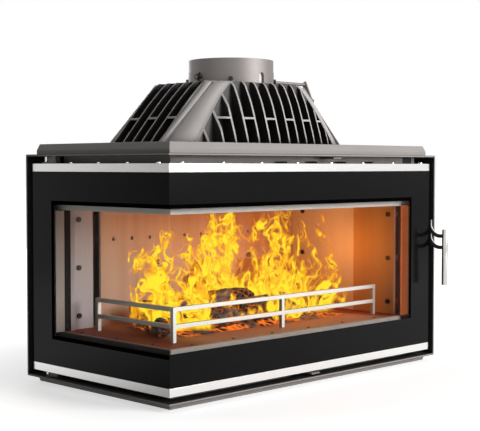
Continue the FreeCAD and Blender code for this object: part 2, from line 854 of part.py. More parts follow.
def build_collar():
    """Flue collar with its four lower notches and the pipe's seat, and the collar bolts."""
    up = Vector(0, 0, 1)
    foot = Vector(0, flue_y, hood_high)
    low_length = collar_height - seat_length
    low_ring = rod(collar_radius + seat_step, foot, up, low_length)
    seat = rod(collar_radius, foot + up * low_length, up, seat_length)
    ring = fuse([low_ring, seat]).cut(rod(collar_radius - collar_wall, foot, up, collar_height))
    half = notch_width / 2
    far = collar_radius + collar_wall
    straight = hood_high + notch_height - half
    cuts = [box(-half, half, flue_y - far, flue_y + far, hood_high, straight),
            box(-far, far, flue_y - half, flue_y + half, hood_high, straight),
            rod(half, Vector(0, flue_y - far, straight), Vector(0, 1, 0), 2 * far),
            rod(half, Vector(-far, flue_y, straight), Vector(1, 0, 0), 2 * far)]
    places = bolt_places(collar_radius + seat_step)
    cuts += [rod(bolt_radius, start, way, 2 * collar_wall) for start, way in places]
    save("flue_collar", ring.cut(cuts))
    bolts = []
    for start, way in places:
        head_start = start - way * bolt_head_height
        shank = rod(bolt_radius, head_start, way, bolt_head_height + collar_wall + neck_wall)
        bolts.append(fuse([hex_bar(bolt_head_radius, head_start, way, bolt_head_height + seat_step), shank]))
    save("collar_bolts", Part.makeCompound([bolt.cut(ring.cut(cuts)) for bolt in bolts]))


def hex_bar(radius, base, way, length):
    """A hexagonal bar, by its corner radius."""
    side = way.cross(Vector(0, 0, 1))
    other = way.cross(side)
    points = []
    for index in range(hex_sides):
        angle = 2 * math.pi * index / hex_sides
        points.append(base + side * (radius * math.cos(angle)) + other * (radius * math.sin(angle)))
    outline = Part.makePolygon(points + points[:1])
    return Part.Face(outline).extrude(way * length)


def build_damper():
    """Damper flap on its shaft, with the end nut and the crank."""
    axis = Vector(1, 0, 0)
    start = Vector(-shaft_left, flue_y, shaft_z)
    shaft = rod(shaft_radius, start, axis, shaft_left + shaft_right)
    flap_radius = collar_radius - collar_wall - touch - neck_wall - flap_gap
    seat = Vector(0, flue_y, shaft_z + shaft_radius - flap_groove)
    save("damper_flap", rod(flap_radius, seat, Vector(0, 0, 1), flap_gauge).cut(shaft))
    save("damper_shaft", shaft)
    nut = hex_bar(nut_radius, start, axis, nut_height).cut(shaft)
    save("damper_nut", nut)
    tilt = math.radians(crank_tilt)
    way = Vector(0, -math.sin(tilt), -math.cos(tilt))
    across = Vector(0, math.cos(tilt), -math.sin(tilt)) * (crank_width / 2)
    end = Vector(shaft_right - crank_gauge, flue_y, shaft_z)
    outline = [end + across - way * crank_width / 2, end - across - way * crank_width / 2,
               end - across + way * crank_length, end + across + way * crank_length]
    plate = Part.Face(Part.makePolygon(outline + outline[:1])).extrude(axis * crank_gauge)
    hole = end + way * (crank_length - crank_width / 2)
    stud = rod(bolt_radius, hole, axis, crank_gauge)
    save("damper_crank", plate.cut(shaft).cut(stud))
    head = hex_bar(bolt_head_radius, hole + axis * crank_gauge, axis, bolt_head_height)
    save("crank_bolt", fuse([stud, head]))


def air_slider(name, lever_x, lever_z, air_z):
    """A slotted plate behind the apron with a lever that passes out through it."""
    near = seal_y + sheet_gauge + touch
    far = near + slider_gauge
    margin = air_slot_length / 2 + end_clearance
    half = (air_slots - 1) / 2 * air_slot_pitch + margin
    plate_low = min(lever_z, air_z - slot_edge)
    plate_high = max(lever_z + lever_thickness, air_z + air_slot_height + slot_edge)
    plate = box(lever_x - half, lever_x + half, near, far, plate_low, plate_high)
    plate = plate.cut(air_cuts(lever_x, near, far, air_z))
    tip = glass_y - plate_overhang / 2
    lever = box(lever_x - lever_width / 2, lever_x + lever_width / 2, tip, far,
                lever_z, lever_z + lever_thickness)
    save(name, fuse([plate, lever]))


def build_air():
    """The two air sliders and the duct that feeds air down the panes."""
    air_slider("primary_air_slider", low_lever_x, low_lever_z, low_air_z)
    air_slider("window_air_slider", high_lever_x, high_lever_z, high_air_z)
    near = seal_y + sheet_gauge
    far = near + duct_depth
    x0 = seal_x + sheet_gauge
    save("window_air_duct", box(x0, right_jamb_left, far - sheet_gauge, far, lintel_high, head_low))


build_base()
build_top()
build_flanges()
build_walls()
build_frame_bars()
build_floor()
build_linings()
build_fence()
build_door()
build_trim_screws()
build_hinges()
build_handle()
build_hood()
build_collar()
build_damper()
build_air()
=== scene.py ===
"""Dresses the corner fireplace insert: finishes, printed glass, door rope, a wood fire and a studio.

Metres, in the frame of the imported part: +Z up, the front pane faces -Y and the side pane faces -X.
"""
import bpy
import json
import math
import random

from bpy.props import FloatProperty, FloatVectorProperty, IntProperty, PointerProperty
from functools import partial
from mathutils import Matrix, Vector, noise


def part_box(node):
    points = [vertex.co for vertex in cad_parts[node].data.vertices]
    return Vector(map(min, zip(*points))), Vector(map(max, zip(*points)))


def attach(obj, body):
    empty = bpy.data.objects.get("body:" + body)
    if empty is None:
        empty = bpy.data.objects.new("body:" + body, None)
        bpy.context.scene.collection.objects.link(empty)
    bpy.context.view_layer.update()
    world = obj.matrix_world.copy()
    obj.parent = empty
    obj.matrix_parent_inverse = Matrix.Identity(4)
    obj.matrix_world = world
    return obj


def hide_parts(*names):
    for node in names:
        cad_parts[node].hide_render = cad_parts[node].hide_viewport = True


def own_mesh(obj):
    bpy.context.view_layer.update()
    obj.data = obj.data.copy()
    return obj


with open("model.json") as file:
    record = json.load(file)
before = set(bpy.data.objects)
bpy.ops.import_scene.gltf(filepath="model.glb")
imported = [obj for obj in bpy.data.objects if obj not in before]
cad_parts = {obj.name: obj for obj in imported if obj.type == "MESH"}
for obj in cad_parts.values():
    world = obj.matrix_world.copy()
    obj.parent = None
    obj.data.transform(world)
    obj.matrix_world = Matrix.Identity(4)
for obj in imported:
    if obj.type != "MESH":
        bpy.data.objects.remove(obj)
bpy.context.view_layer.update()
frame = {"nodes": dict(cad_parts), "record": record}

bl_info = {
    "name": "Corner fireplace insert",
    "version": (1, 0, 0),
    "blender": (4, 5, 0),
    "location": "3D View > Sidebar > Insert",
    "description": "Finishes, printed glass, door rope, wood fire and studio for a corner fireplace insert",
    "category": "Object",
}

MM = 0.001
WHITE = (1.0, 1.0, 1.0)
HEARTH_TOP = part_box("floor_plate")[1].z


def linear(hex_colour):
    """Linear RGB of an sRGB hex colour."""
    channels = [int(hex_colour[i:i + 2], 16) / 255 for i in (1, 3, 5)]
    return tuple(c / 12.92 if c <= 0.04045 else ((c + 0.055) / 1.055) ** 2.4 for c in channels)


def colour(name, description, hex_colour):
    """A colour that a user can change, given as sRGB hex."""
    return FloatVectorProperty(name=name, description=description, subtype="COLOR", size=3,
                               min=0.0, max=1.0, default=linear(hex_colour))


def length(name, description, millimetres):
    """A length that a user can change, given in millimetres."""
    return FloatProperty(name=name, description=description, unit="LENGTH", default=millimetres * MM)


def amount(name, description, default, unit="NONE"):
    """A number or a power that a user can change."""
    return FloatProperty(name=name, description=description, unit=unit, default=default)


class InsertColours(bpy.types.PropertyGroup):
    """Colours of the finishes, the glass and the fire."""

    casing: colour("Casing paint", "Warm grey stove paint of the cover, tray and casing", "#a09a97")
    # Flange paint: its black is painted shade on the flange plates' broad faces and on the right jamb above
    # and below the opening; the flange edges' grey is the plates' own colour
    flange: colour("Flange paint", "Black stove paint of the flange plates and jambs", "#1c1b1b")
    flange_edge: colour("Flange edges", "Grey cut edges of the flange plates", "#a19b98")
    inner_frame: colour("Frame paint", "Grey stove paint of the aprons and door rails", "#87807c")
    bars: colour("Bar paint", "Light grey paint of the lintel bars", "#dfdbda")
    sills: colour("Sill paint", "Sooted grey paint of the sill bars", "#b3aaa6")
    lining: colour("Lining plate", "Bare heat-toned steel of the firebox linings", "#c3a997")
    lining_tint: colour("Lining heat tint", "Straw to brown heat colours on the linings", "#b3947d")
    hot_lining: colour("Hot lining", "Brown plate beside the hottest part of the fire", "#ba9560")
    dusty_lining: colour("Dusty lining", "Pale ash dust on the plate beside the flames", "#d4cfc8")
    # Cool lining: the plate's grey made cooler as painted shade, where little firelight reaches
    cool_lining: colour("Cool lining", "Bare grey plate at the end away from the fire", "#bab9c1")
    screws: colour("Screw oxide", "Dark oxide of the lining screws and bolts", "#3a3634")
    board: colour("Baffle board", "Pressed mineral board of the baffle", "#b79c72")
    # Fence steel: this near-white is also the painted highlight on the linings' edges
    fence: colour("Fence steel", "Bead-blasted log fence, and the linings' bare edges", "#f4f4f2")
    # Fence sides: painted shade on all but the fence's front and back faces
    fence_shaded_sides: colour("Fence sides", "Duller steel on the sides of the log fence", "#a3a2a0")
    handle: colour("Handle bar", "Polished steel of the handle bar", "#d2d2d1")
    # Handle lever and lever edges: painted shade on the lever's flat sides, painted highlight on its edges
    lever: colour("Handle lever", "Dark oxide on the flat sides of the handle's lever", "#5e5c5a")
    lever_edge: colour("Lever edges", "Bright cut edges of the handle's lever", "#d6d5d3")
    # Hearth plate: the oxide made dark as painted shade at the hearth's ends
    hearth: colour("Hearth plate", "Brown oxide of the hearth plate", "#7f3a28")
    hearth_ash: colour("Hearth ash", "Tan ash dust on the hearth before the fire", "#b98361")
    # Hot jamb: the heat tone brightened as painted firelight
    jamb: colour("Hot jamb", "Heat-toned strip of the jamb beside the handle", "#b5623a")
    bright: colour("Satin steel", "Satin stainless strips and the hood's turned spigot", "#f2f1ef")
    hood: colour("Hood casting", "Warm grey paint of the cast smoke hood", "#c0bab7")
    # Hood slots: painted shade on the hood's upright faces and in its hollows
    hood_slot_shade: colour("Hood slots", "Dark primer in the hood's cooling slots", "#1d1918")
    grate: colour("Grate casting", "Raw dark cast iron of the grate", "#2b2828")
    collar: colour("Collar steel", "Turned steel of the flue collar", "#8b8583")
    rope: colour("Door rope", "Graphite-dressed glass-fibre rope", "#4a4744")
    print_black: colour("Glass print", "Fired black enamel on the face of the panes", "#080808")
    # Seal tape: a black strip of painted shade
    tape: colour("Seal tape", "Black tape along the inner edge of the print", "#050505")
    bark: colour("Charred wood", "Charred bark of the burning logs", "#17110e")
    ash: colour("Wood ash", "Pale ash on the logs and embers", "#8d827b")
    ember: colour("Ember glow", "Glowing cracks and coals", "#ff7a18")
    flame_edge: colour("Flame edge", "Thin outer edge of a flame", "#e8741c")
    flame_body: colour("Flame body", "Middle of a flame", "#ffb01e")
    flame_core: colour("Flame core", "Brightest part of a flame", "#ffe934")
    fire_light: colour("Fire light", "Light that the fire throws on the linings", "#ff9a4a")


class InsertSizes(bpy.types.PropertyGroup):
    """Sizes of the pieces that the scene adds."""

    print_top: length("Print top border", "Height of the black border at the top of the panes", 63)
    print_bottom: length("Print bottom border", "Height of the black border at the foot of the panes", 57)
    print_step: length("Print step", "How much higher the foot of the front pane's border is", 10.5)
    print_right: length("Print right border", "Width of the front pane's border at the handle", 74)
    print_rear: length("Print rear border", "Width of the side pane's border at the hinges", 72)
    # The seal tape is a black strip of painted shade
    tape_width: length("Seal tape", "Width of the black tape along the print's inner edge", 8.5)
    print_gauge: length("Print thickness", "Thickness of the enamel layer", 0.2)
    lip_width: length("Jamb lip", "Width of the lip between the jamb and the flange", 18)
    lip_gauge: length("Jamb lip gauge", "Thickness of the lip's sheet", 1.2)
    strip_gauge: length("Stile strip gauge", "Thickness of the strip on the hinge stile", 2.0)
    strip_reach: length("Stile strip reach", "How far the strip stands before the hinge stile", 22)
    screw_radius: length("Hearth screw", "Radius of the dome screws on the hearth", 3.6)
    screw_pitch: length("Hearth screw pitch", "Spacing of the dome screws on the hearth", 119)
    screw_inset: length("Hearth screw inset", "From the sill to the dome screws", 14)
    rope_lay: length("Rope lay", "Length of one lay of the rope's braid", 14)
    edge_round: length("Edge rounding", "Rounding of the sheet metal's edges", 0.8)
    casting_round: length("Casting rounding", "Rounding of the hood casting's edges", 2.5)
    hood_half: length("Hood half length", "From the flue to the hood's corner ribs at the foot", 292)
    hood_taper: length("Hood taper", "How far the corner ribs draw in towards the top", 136)
    hood_corner: length("Hood corner", "From the flue to the end of the hood's front at the foot", 192)
    corner_taper: length("Hood corner taper", "How far the ends of the front draw in towards the top", 94)
    rib_depth: length("Rib depth", "From the flue's middle to the corner ribs, front to back", 79)
    corner_depth: length("Corner depth", "From the flue's middle to the ends of the front at the foot", 150)
    corner_lean: length("Corner lean", "How far the ends of the front lean back towards the top", 37)
    slot_floor: length("Slot floor", "From the flue's middle to the cooling slots' floor at the foot", 125)
    slot_lean: length("Slot lean", "How far the floor of the cooling slots leans back", 13)
    hood_rise: length("Hood height", "Height of the hood's sloping sides", 141)
    rib_inset: length("Rib inset", "From the hood's corner to where the hip leaves the rib", 14)
    hip_hollow: length("Hip hollow", "Height of the hollow's edge against the rib", 2.5)
    hip_swell: length("Hip swell", "How far the hips swell", 5)
    flame_height: length("Flame height", "Height of the tallest flames above the hearth", 268)
    log_radius: length("Log radius", "Radius of the thickest log", 26)


class InsertStage(bpy.types.PropertyGroup):
    """Camera, lamps and floor."""

    lens: amount("Lens", "Camera lens on a 36 mm sensor", 85.96)
    floor_size: length("Floor size", "Side of the pale studio floor", 40000)
    key_power: amount("Key lamp", "Power of the large soft lamp", 155.0, "POWER")
    rear_power: amount("Rear lamp", "Power of the soft lamp behind the insert", 85.0, "POWER")
    fire_power: amount("Fire lamps", "Power of a fire lamp with a share of 1", 0.5, "POWER")
    ambient: amount("Ambient", "Strength of the light from all round", 0.09)
    floor_lift: amount("Floor white", "White added to the floor for the camera", 0.6)
    mirror_lift: amount("Floor white in mirrors", "White added to the floor for metal and glass", 0.56)
    seed: IntProperty(name="Seed", description="Seed of the fire's random draws", default=7)


def add_node(tree, kind, inputs=None, stops=None, **settings):
    """Adds a shader node: its settings, the values or links of its inputs and its colour stops.

    An input takes a number, a colour, an output, or a node, which stands for its first output in use."""
    node = tree.nodes.new(f"ShaderNode{kind}")
    for key, value in settings.items():
        setattr(node, key, value)
    for key, value in (inputs or {}).items():
        socket = node.inputs[key]
        if isinstance(value, bpy.types.Node):
            value = next(output for output in value.outputs if output.enabled)
        if isinstance(value, bpy.types.NodeSocket):
            tree.links.new(value, socket)
        else:
            socket.default_value = (*value, 1.0) if socket.type == "RGBA" else value
    for index, (position, shade) in enumerate(stops or ()):
        elements = node.color_ramp.elements
        element = elements[index] if index < 2 else elements.new(position)
        element.position = position
        element.color = (*shade, 1.0)
    return node


def new_material(name):
    """An empty material, and add_node for its node tree."""
    material = bpy.data.materials.new(name)
    material.use_nodes = True
    material.node_tree.nodes.clear()
    return material, partial(add_node, material.node_tree)


def toned(shade, factor):
    """A colour times a factor."""
    return tuple(min(1.0, channel * factor) for channel in shade)


def coated(name, shade, grain, relief, rough, spread, metallic=0.0, stretch=(1, 1, 1), gleam=0.5,
           uneven=0.06, sides=None, across="Z", hollow=0.0, bare=None):
    """A finish whose grain, with its width and relief in mm, shows in its colour, roughness and bumps.

    The faces that run along the axis named across, and hollows about hollow mm wide, take the colour of
    the sides. bare is a colour, an axis and the limit on it past which that colour shows."""
    material, put = new_material(name)
    coord = put("TexCoord").outputs
    drawn = put("VectorMath", {0: coord["Object"], 1: stretch}, operation="MULTIPLY")
    # Grain too fine to show, as on blasted, polished or turned steel, is drawn 1.2 to 3 mm wide
    grains = put("TexNoise", {"Vector": drawn, "Scale": 1 / (grain * MM), "Detail": 3.0})
    clouds = put("TexNoise", {"Vector": coord["Object"], "Scale": 1 / (90 * MM), "Detail": 2.0})
    both = put("Math", {0: grains, 1: clouds}, operation="ADD")
    half = put("Math", {0: both, 1: 0.5}, operation="MULTIPLY")
    shown = put("ValToRGB", {"Fac": half},
                stops=((0.3, toned(shade, 1 - spread)), (0.7, toned(shade, 1 + spread))))
    # Painted light and shade by the way a face turns: faces that run along the axis named across take the
    # sides colour
    if sides is not None:
        facing = put("SeparateXYZ", {0: coord["Normal"]}).outputs
        either = put("Math", {0: facing[across]}, operation="ABSOLUTE")
        square = put("MapRange", {"Value": either, "From Min": 0.10, "From Max": 0.22})
        shown = put("Mix", {"Factor": square, "A": sides, "B": shown}, data_type="RGBA")
    # Painted shade in the hollows: where little is open round a point, the colour darkens towards the sides
    # colour
    if hollow:
        open_share = put("AmbientOcclusion", {"Distance": hollow * MM}, samples=8).outputs["AO"]
        deep = put("MapRange", {"Value": open_share, "From Min": 0.65, "From Max": 0.98,
                                "To Min": 0.85, "To Max": 0.0})
        shown = put("Mix", {"Factor": deep, "A": shown, "B": sides}, data_type="RGBA")
    if bare is not None:
        bare_shade, axis, limit = bare
        place = put("SeparateXYZ", {0: coord["Object"]}).outputs
        beyond = put("Math", {0: place[axis], 1: limit}, operation="GREATER_THAN")
        shown = put("Mix", {"Factor": beyond, "A": shown, "B": bare_shade}, data_type="RGBA")
    gloss = put("MapRange", {"Value": grains, "To Min": rough - uneven, "To Max": rough + uneven})
    bumps = put("Bump", {"Height": grains, "Distance": relief * MM, "Strength": 0.6})
    shader = put("BsdfPrincipled", {"Base Color": shown, "Roughness": gloss, "Metallic": metallic,
                                    "Specular IOR Level": gleam, "Normal": bumps})
    put("OutputMaterial", {"Surface": shader})
    return material


def casing_paint(colours):
    # Silicone stove paint sprayed on sheet steel: satin, with a faint orange peel
    return coated("sprayed_stove_paint_warm_grey", colours.casing, grain=2.2, relief=0.05, rough=0.5,
                  spread=0.05)


def flange_edges_and_painted_shade(colours, name="plates", across="Z"):
    # Painted shade: matt black on the plate's broad faces; its edges keep the plate's own grey and catch the
    # light
    return coated(f"sprayed_stove_paint_black_{name}", colours.flange, grain=2.2, relief=0.02, rough=0.6,
                  spread=0.2, gleam=0.2, sides=colours.flange_edge, across=across)


def left_jamb_paint(colours):
    # The jamb at the hinges: the same black towards the door, and the cool lining's grey past a line beside
    # the lining
    margin = 11.5 * MM
    return coated("sprayed_stove_paint_black_jamb", colours.flange, grain=2.2, relief=0.02, rough=0.6,
                  spread=0.2, gleam=0.1, bare=(colours.cool_lining, "X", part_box("left_jamb")[1].x - margin))


def frame_paint(colours):
    # Grey paint on folded sheet: even and dull
    return coated("sprayed_stove_paint_grey", colours.inner_frame, grain=2.2, relief=0.05, rough=0.55,
                  spread=0.06)


def bar_paint(colours):
    # Light grey paint on flat bar: a little smoother than the sheet
    return coated("sprayed_stove_paint_light_grey", colours.bars, grain=1.8, relief=0.04, rough=0.45,
                  spread=0.05)


def sill_paint(colours):
    # The same paint on the sill, dulled by ash and wiped by logs
    return coated("sprayed_stove_paint_sooted", colours.sills, grain=1.8, relief=0.04, rough=0.55,
                  spread=0.12, gleam=0.3)


def side_sill_paint(colours):
    # The side sill: the same paint at a quarter of its tone and matt, as painted shade
    return coated("soot_on_stove_paint", toned(colours.sills, 0.24), grain=1.8, relief=0.04, rough=0.7,
                  spread=0.2, gleam=0.15)


def screw_oxide(colours):
    # Hot-oxidised steel: nearly black with a dull metal gleam
    return coated("oxidised_screw_steel", colours.screws, grain=1.2, relief=0.03, rough=0.42, spread=0.2,
                  metallic=0.8)


def baffle_board(colours):
    # Pressed vermiculite: pale flakes, no gloss
    return coated("pressed_vermiculite_board", colours.board, grain=3.5, relief=0.5, rough=0.9, spread=0.3)


def satin_steel(colours):
    # Stainless bar polished along its length: bright, with fine lines that soften the reflection
    return coated("satin_stainless_steel", colours.bright, grain=3.0, relief=0.0002, rough=0.2,
                  spread=0.015, metallic=1.0, stretch=(0.05, 0.05, 1), uneven=0.02)


def fence_steel(colours):
    # Stainless bar blasted with beads: a pale, dull skin that shades like paint; all but its front and back
    # faces darkened as painted shade
    return coated("bead_blasted_stainless_steel", colours.fence, grain=1.6, relief=0.01, rough=0.45,
                  spread=0.02, metallic=0.35, gleam=0.3, sides=colours.fence_shaded_sides, across="Y")


def handle_steel(colours):
    # Stainless bar polished: a clear reflection, a shade darker than the strips
    return coated("polished_stainless_steel", colours.handle, grain=3.0, relief=0.0005, rough=0.16,
                  spread=0.01, metallic=1.0)


def lever_steel(colours):
    # Laser-cut lever: its flat sides darkened as painted shade and its edges lightened as painted highlight
    return coated("oxidised_lever_steel", colours.lever, grain=1.6, relief=0.01, rough=0.38, spread=0.06,
                  metallic=0.9, sides=colours.lever_edge, across="X")


def hood_casting(colours):
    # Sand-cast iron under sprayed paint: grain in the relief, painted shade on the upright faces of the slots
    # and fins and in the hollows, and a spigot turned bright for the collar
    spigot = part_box("flue_collar")[0].z + 1 * MM
    return coated("sand_cast_iron_painted", colours.hood, grain=2.6, relief=0.12, rough=0.46, spread=0.06,
                  sides=colours.hood_slot_shade, hollow=30, bare=(colours.bright, "Z", spigot))


def grate_casting(colours):
    # Raw sand-cast iron: dark, rough and faintly metallic
    return coated("sand_cast_iron_raw", colours.grate, grain=2.6, relief=0.35, rough=0.6, spread=0.25,
                  metallic=0.4)


def collar_steel(colours):
    # Steel turned in a lathe: fine rings that spread the reflection into an upright band
    return coated("turned_mild_steel", colours.collar, grain=3.0, relief=0.002, rough=0.55, spread=0.03,
                  metallic=0.75, stretch=(0.05, 0.05, 1))


def glass_print(colours):
    # Ceramic enamel screen-printed and fired on the glass: an even, deep black
    return coated("fired_black_enamel", colours.print_black, grain=1.2, relief=0.0002, rough=0.16,
                  spread=0.1, gleam=0.1)


def seal_tape(colours):
    # Woven glass tape dressed in graphite, black with no gloss at all, laid as painted shade along the
    # print's inner edge
    return coated("woven_black_glass_tape", colours.tape, grain=1.4, relief=0.05, rough=0.95, spread=0.2,
                  gleam=0.0)


def braided_rope(colours):
    # Glass-fibre rope braided and rubbed with graphite: soft, fuzzy and dark
    return coated("braided_glass_fibre_rope", colours.rope, grain=1.4, relief=0.4, rough=0.95, spread=0.25)


def hearth_plate(colours):
    # Steel hearth under years of fire: red-brown oxide, made dark as painted shade towards both ends, under
    # tan ash dust before the middle of the fire
    material, put = new_material("fire_browned_steel_plate")
    place = put("TexCoord").outputs["Object"]
    grains = put("TexNoise", {"Vector": place, "Scale": 1 / (6 * MM), "Detail": 3.0})
    axes = put("SeparateXYZ", {0: place}).outputs
    off = put("Math", {0: axes["X"]}, operation="ABSOLUTE")
    dusted = put("MapRange", {"Value": off, "From Min": 0.33, "From Max": 0.26})
    ranges = ((colours.hearth, 0.82, 1.18), (colours.hearth_ash, 0.85, 1.1))
    oxide, dust = [put("ValToRGB", {"Fac": grains},
                       stops=((0.3, toned(shade, dark)), (0.7, toned(shade, light))))
                   for shade, dark, light in ranges]
    shown = put("Mix", {"Factor": dusted, "A": oxide, "B": dust}, data_type="RGBA")
    gloss = put("MapRange", {"Value": grains, "To Min": 0.54, "To Max": 0.66})
    bumps = put("Bump", {"Height": grains, "Distance": 0.03 * MM, "Strength": 0.6})
    shader = put("BsdfPrincipled", {"Base Color": shown, "Roughness": gloss, "Specular IOR Level": 0.1,
                                    "Normal": bumps})
    put("OutputMaterial", {"Surface": shader})
    return material


def jamb_plate(colours):
    # The jamb beside the fire: copper heat tones along the opening, brightened as painted firelight, and
    # black above and below it as painted shade;
    # a painted glow stands in for the warm light that the back of the pane throws on it
    material, put = new_material("heat_toned_steel_strip")
    place = put("TexCoord").outputs["Object"]
    axes = put("SeparateXYZ", {0: place}).outputs
    above = put("Math", {0: axes["Z"], 1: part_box("front_sill")[1].z}, operation="GREATER_THAN")
    below = put("Math", {0: axes["Z"], 1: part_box("front_lintel")[0].z}, operation="LESS_THAN")
    beside = put("Math", {0: above, 1: below}, operation="MULTIPLY")
    streaks = put("TexNoise", {"Vector": place, "Scale": 1 / (40 * MM), "Detail": 2.0})
    tones = put("ValToRGB", {"Fac": streaks}, stops=((0.3, toned(colours.jamb, 0.85)), (0.7, colours.jamb)))
    painted = put("Mix", {"Factor": beside, "A": colours.flange, "B": tones}, data_type="RGBA")
    painted_glow = put("Math", {0: beside, 1: 0.58}, operation="MULTIPLY")
    shader = put("BsdfPrincipled", {"Base Color": painted, "Roughness": 0.5, "Specular IOR Level": 0.3,
                                    "Emission Color": tones, "Emission Strength": painted_glow})
    put("OutputMaterial", {"Surface": shader})
    return material


def lining_plate(colours, name="plain", edges=None, base="lining", streak=None, browned_before=None):
    # Rolled steel plate kept hot: upright streaks of straw and brown over a grey that still gleams, and a
    # painted highlight in near-white on the edges square to the axis named edges
    material, put = new_material(f"heat_toned_steel_plate_{name}")
    shade = getattr(colours, base)
    tint = colours.lining_tint if streak is None else toned(shade, streak)
    coord = put("TexCoord").outputs
    drawn = put("VectorMath", {0: coord["Object"], 1: (1, 1, 0.04)}, operation="MULTIPLY")
    streaks = put("TexNoise", {"Vector": drawn, "Scale": 1 / (30 * MM), "Detail": 2.0})
    shown = put("ValToRGB", {"Fac": streaks}, stops=((0.2, tint), (0.6, shade)))
    if browned_before is not None:
        axes = put("SeparateXYZ", {0: coord["Object"]}).outputs
        front = put("MapRange", {"Value": axes["Y"], "From Min": browned_before + 1 * MM,
                                 "From Max": browned_before - 1 * MM})
        browned = put("ValToRGB", {"Fac": streaks},
                      stops=((0.2, toned(colours.hot_lining, 0.85)), (0.6, colours.hot_lining)))
        shown = put("Mix", {"Factor": front, "A": shown, "B": browned}, data_type="RGBA")
    if edges is not None:
        facing = put("SeparateXYZ", {0: coord["Normal"]}).outputs
        either = put("Math", {0: facing[edges]}, operation="ABSOLUTE")
        lit_edge = put("Math", {0: either, 1: 0.5}, operation="GREATER_THAN")
        shown = put("Mix", {"Factor": lit_edge, "A": shown, "B": colours.fence}, data_type="RGBA")
    gloss = put("MapRange", {"Value": streaks, "To Min": 0.44, "To Max": 0.52})
    shader = put("BsdfPrincipled", {"Base Color": shown, "Roughness": gloss, "Metallic": 0.2,
                                    "Specular IOR Level": 0.3})
    put("OutputMaterial", {"Surface": shader})
    return material


def pane_glass(colours):
    # Clear glass ceramic, rolled and polished: almost all light passes, a little is mirrored
    material, put = new_material("rolled_glass_ceramic")
    facing = put("LayerWeight", {"Blend": 0.5}).outputs["Facing"]
    grazing = put("Math", {0: facing, 1: 9.0}, operation="POWER")
    share = put("Math", {0: grazing, 1: 0.8, 2: 0.002}, operation="MULTIPLY_ADD")
    clear = put("BsdfTransparent", {"Color": (0.97, 0.965, 0.95)})
    mirror = put("BsdfGlossy", {"Color": WHITE, "Roughness": 0.04})
    mixed = put("MixShader", {0: share, 1: clear, 2: mirror})
    put("OutputMaterial", {"Surface": mixed})
    return material


FINISHES = {
    "casing_steel": casing_paint,
    "flange_steel": flange_edges_and_painted_shade,
    "frame_steel": frame_paint,
    "bar_steel": bar_paint,
    "lining_steel": lining_plate,
    "screw_steel": screw_oxide,
    "baffle_board": baffle_board,
    "bright_steel": satin_steel,
    "hood_casting": hood_casting,
    "grate_casting": grate_casting,
    "collar_steel": collar_steel,
    "door_glass": pane_glass,
    "rope_gasket": braided_rope,
}

# Nodes whose look differs from the rest of their slot
OWN_FINISHES = {
    "right_flange": partial(flange_edges_and_painted_shade, name="right_flange", across="X"),
    "rear_flange": partial(flange_edges_and_painted_shade, name="rear_flange", across="Y"),
    "fence_front": fence_steel,
    "fence_side": fence_steel,
    "handle_bar": handle_steel,
    "handle_lever": lever_steel,
    "handle_pivot": lever_steel,
    "hinge_blocks": frame_paint,
    "latch_keeper": screw_oxide,
    "front_sill": sill_paint,
    "side_sill": side_sill_paint,
    "floor_plate": hearth_plate,
    "right_jamb": jamb_plate,
    "left_jamb": left_jamb_paint,
    # The plate at the hinges, away from the fire: the grey of the rolling mill, made cooler as painted shade
    # where the firelight is weak
    "end_panel": partial(lining_plate, name="end", base="cool_lining", streak=0.85),
    # The plate beside the handle: pale ash dust at the rear, browned at the front, and a painted highlight on
    # its front and rear edges
    "right_lining": partial(lining_plate, name="right", edges="Y", base="dusty_lining", streak=0.9,
                            browned_before=-49 * MM),
    # The plate behind the fire, with a painted highlight on its left and right edges
    "back_lining": partial(lining_plate, name="back", edges="X"),
}


def burnt_wood(name, colours, plate, patch, detail, ash, crack, heat, rough, relief=0.0):
    """Burnt wood in plates with fire in the cracks between them, under patches of ash and of heat.

    plate, patch and relief are in mm, and crack is the share of a plate that glows. Along the patches,
    ash is where it starts and where it covers, and heat where it starts, where it is full and how strong."""
    material, put = new_material(name)
    place = put("TexCoord").outputs["Object"]
    plates = put("TexVoronoi", {"Vector": place, "Scale": 1 / (plate * MM)}, feature="DISTANCE_TO_EDGE")
    patches = put("TexNoise", {"Vector": place, "Scale": 1 / (patch * MM), "Detail": detail})
    tones = put("ValToRGB", {"Fac": patches}, stops=((ash[0], colours.bark), (ash[1], colours.ash)))
    cracks = put("MapRange", {"Value": plates, "From Max": crack, "To Min": 1.0, "To Max": 0.0})
    hot = put("MapRange", {"Value": patches, "From Min": heat[0], "From Max": heat[1], "To Max": heat[2]})
    glow = put("Math", {0: cracks, 1: hot}, operation="MULTIPLY")
    surface = {"Base Color": tones, "Roughness": rough, "Emission Color": colours.ember,
               "Emission Strength": glow}
    if relief:
        surface["Normal"] = put("Bump", {"Height": plates, "Distance": relief * MM, "Strength": 0.7})
    put("OutputMaterial", {"Surface": put("BsdfPrincipled", surface)})
    return material


def charred_wood(colours):
    # Burnt bark split into small plates: black with pale ash on top and fire in the cracks
    return burnt_wood("charred_beech_log", colours, plate=11, patch=26, detail=6.0, ash=(0.48, 0.68),
                      crack=0.09, heat=(0.5, 0.38, 1.0), rough=0.9, relief=4)


def glowing_coals(colours):
    # A bed of wood coals: dark lumps, ash on top and orange heat between them
    return burnt_wood("glowing_wood_coals", colours, plate=20, patch=45, detail=3.0, ash=(0.45, 0.75),
                      crack=0.22, heat=(0.62, 0.42, 1.2), rough=0.95)


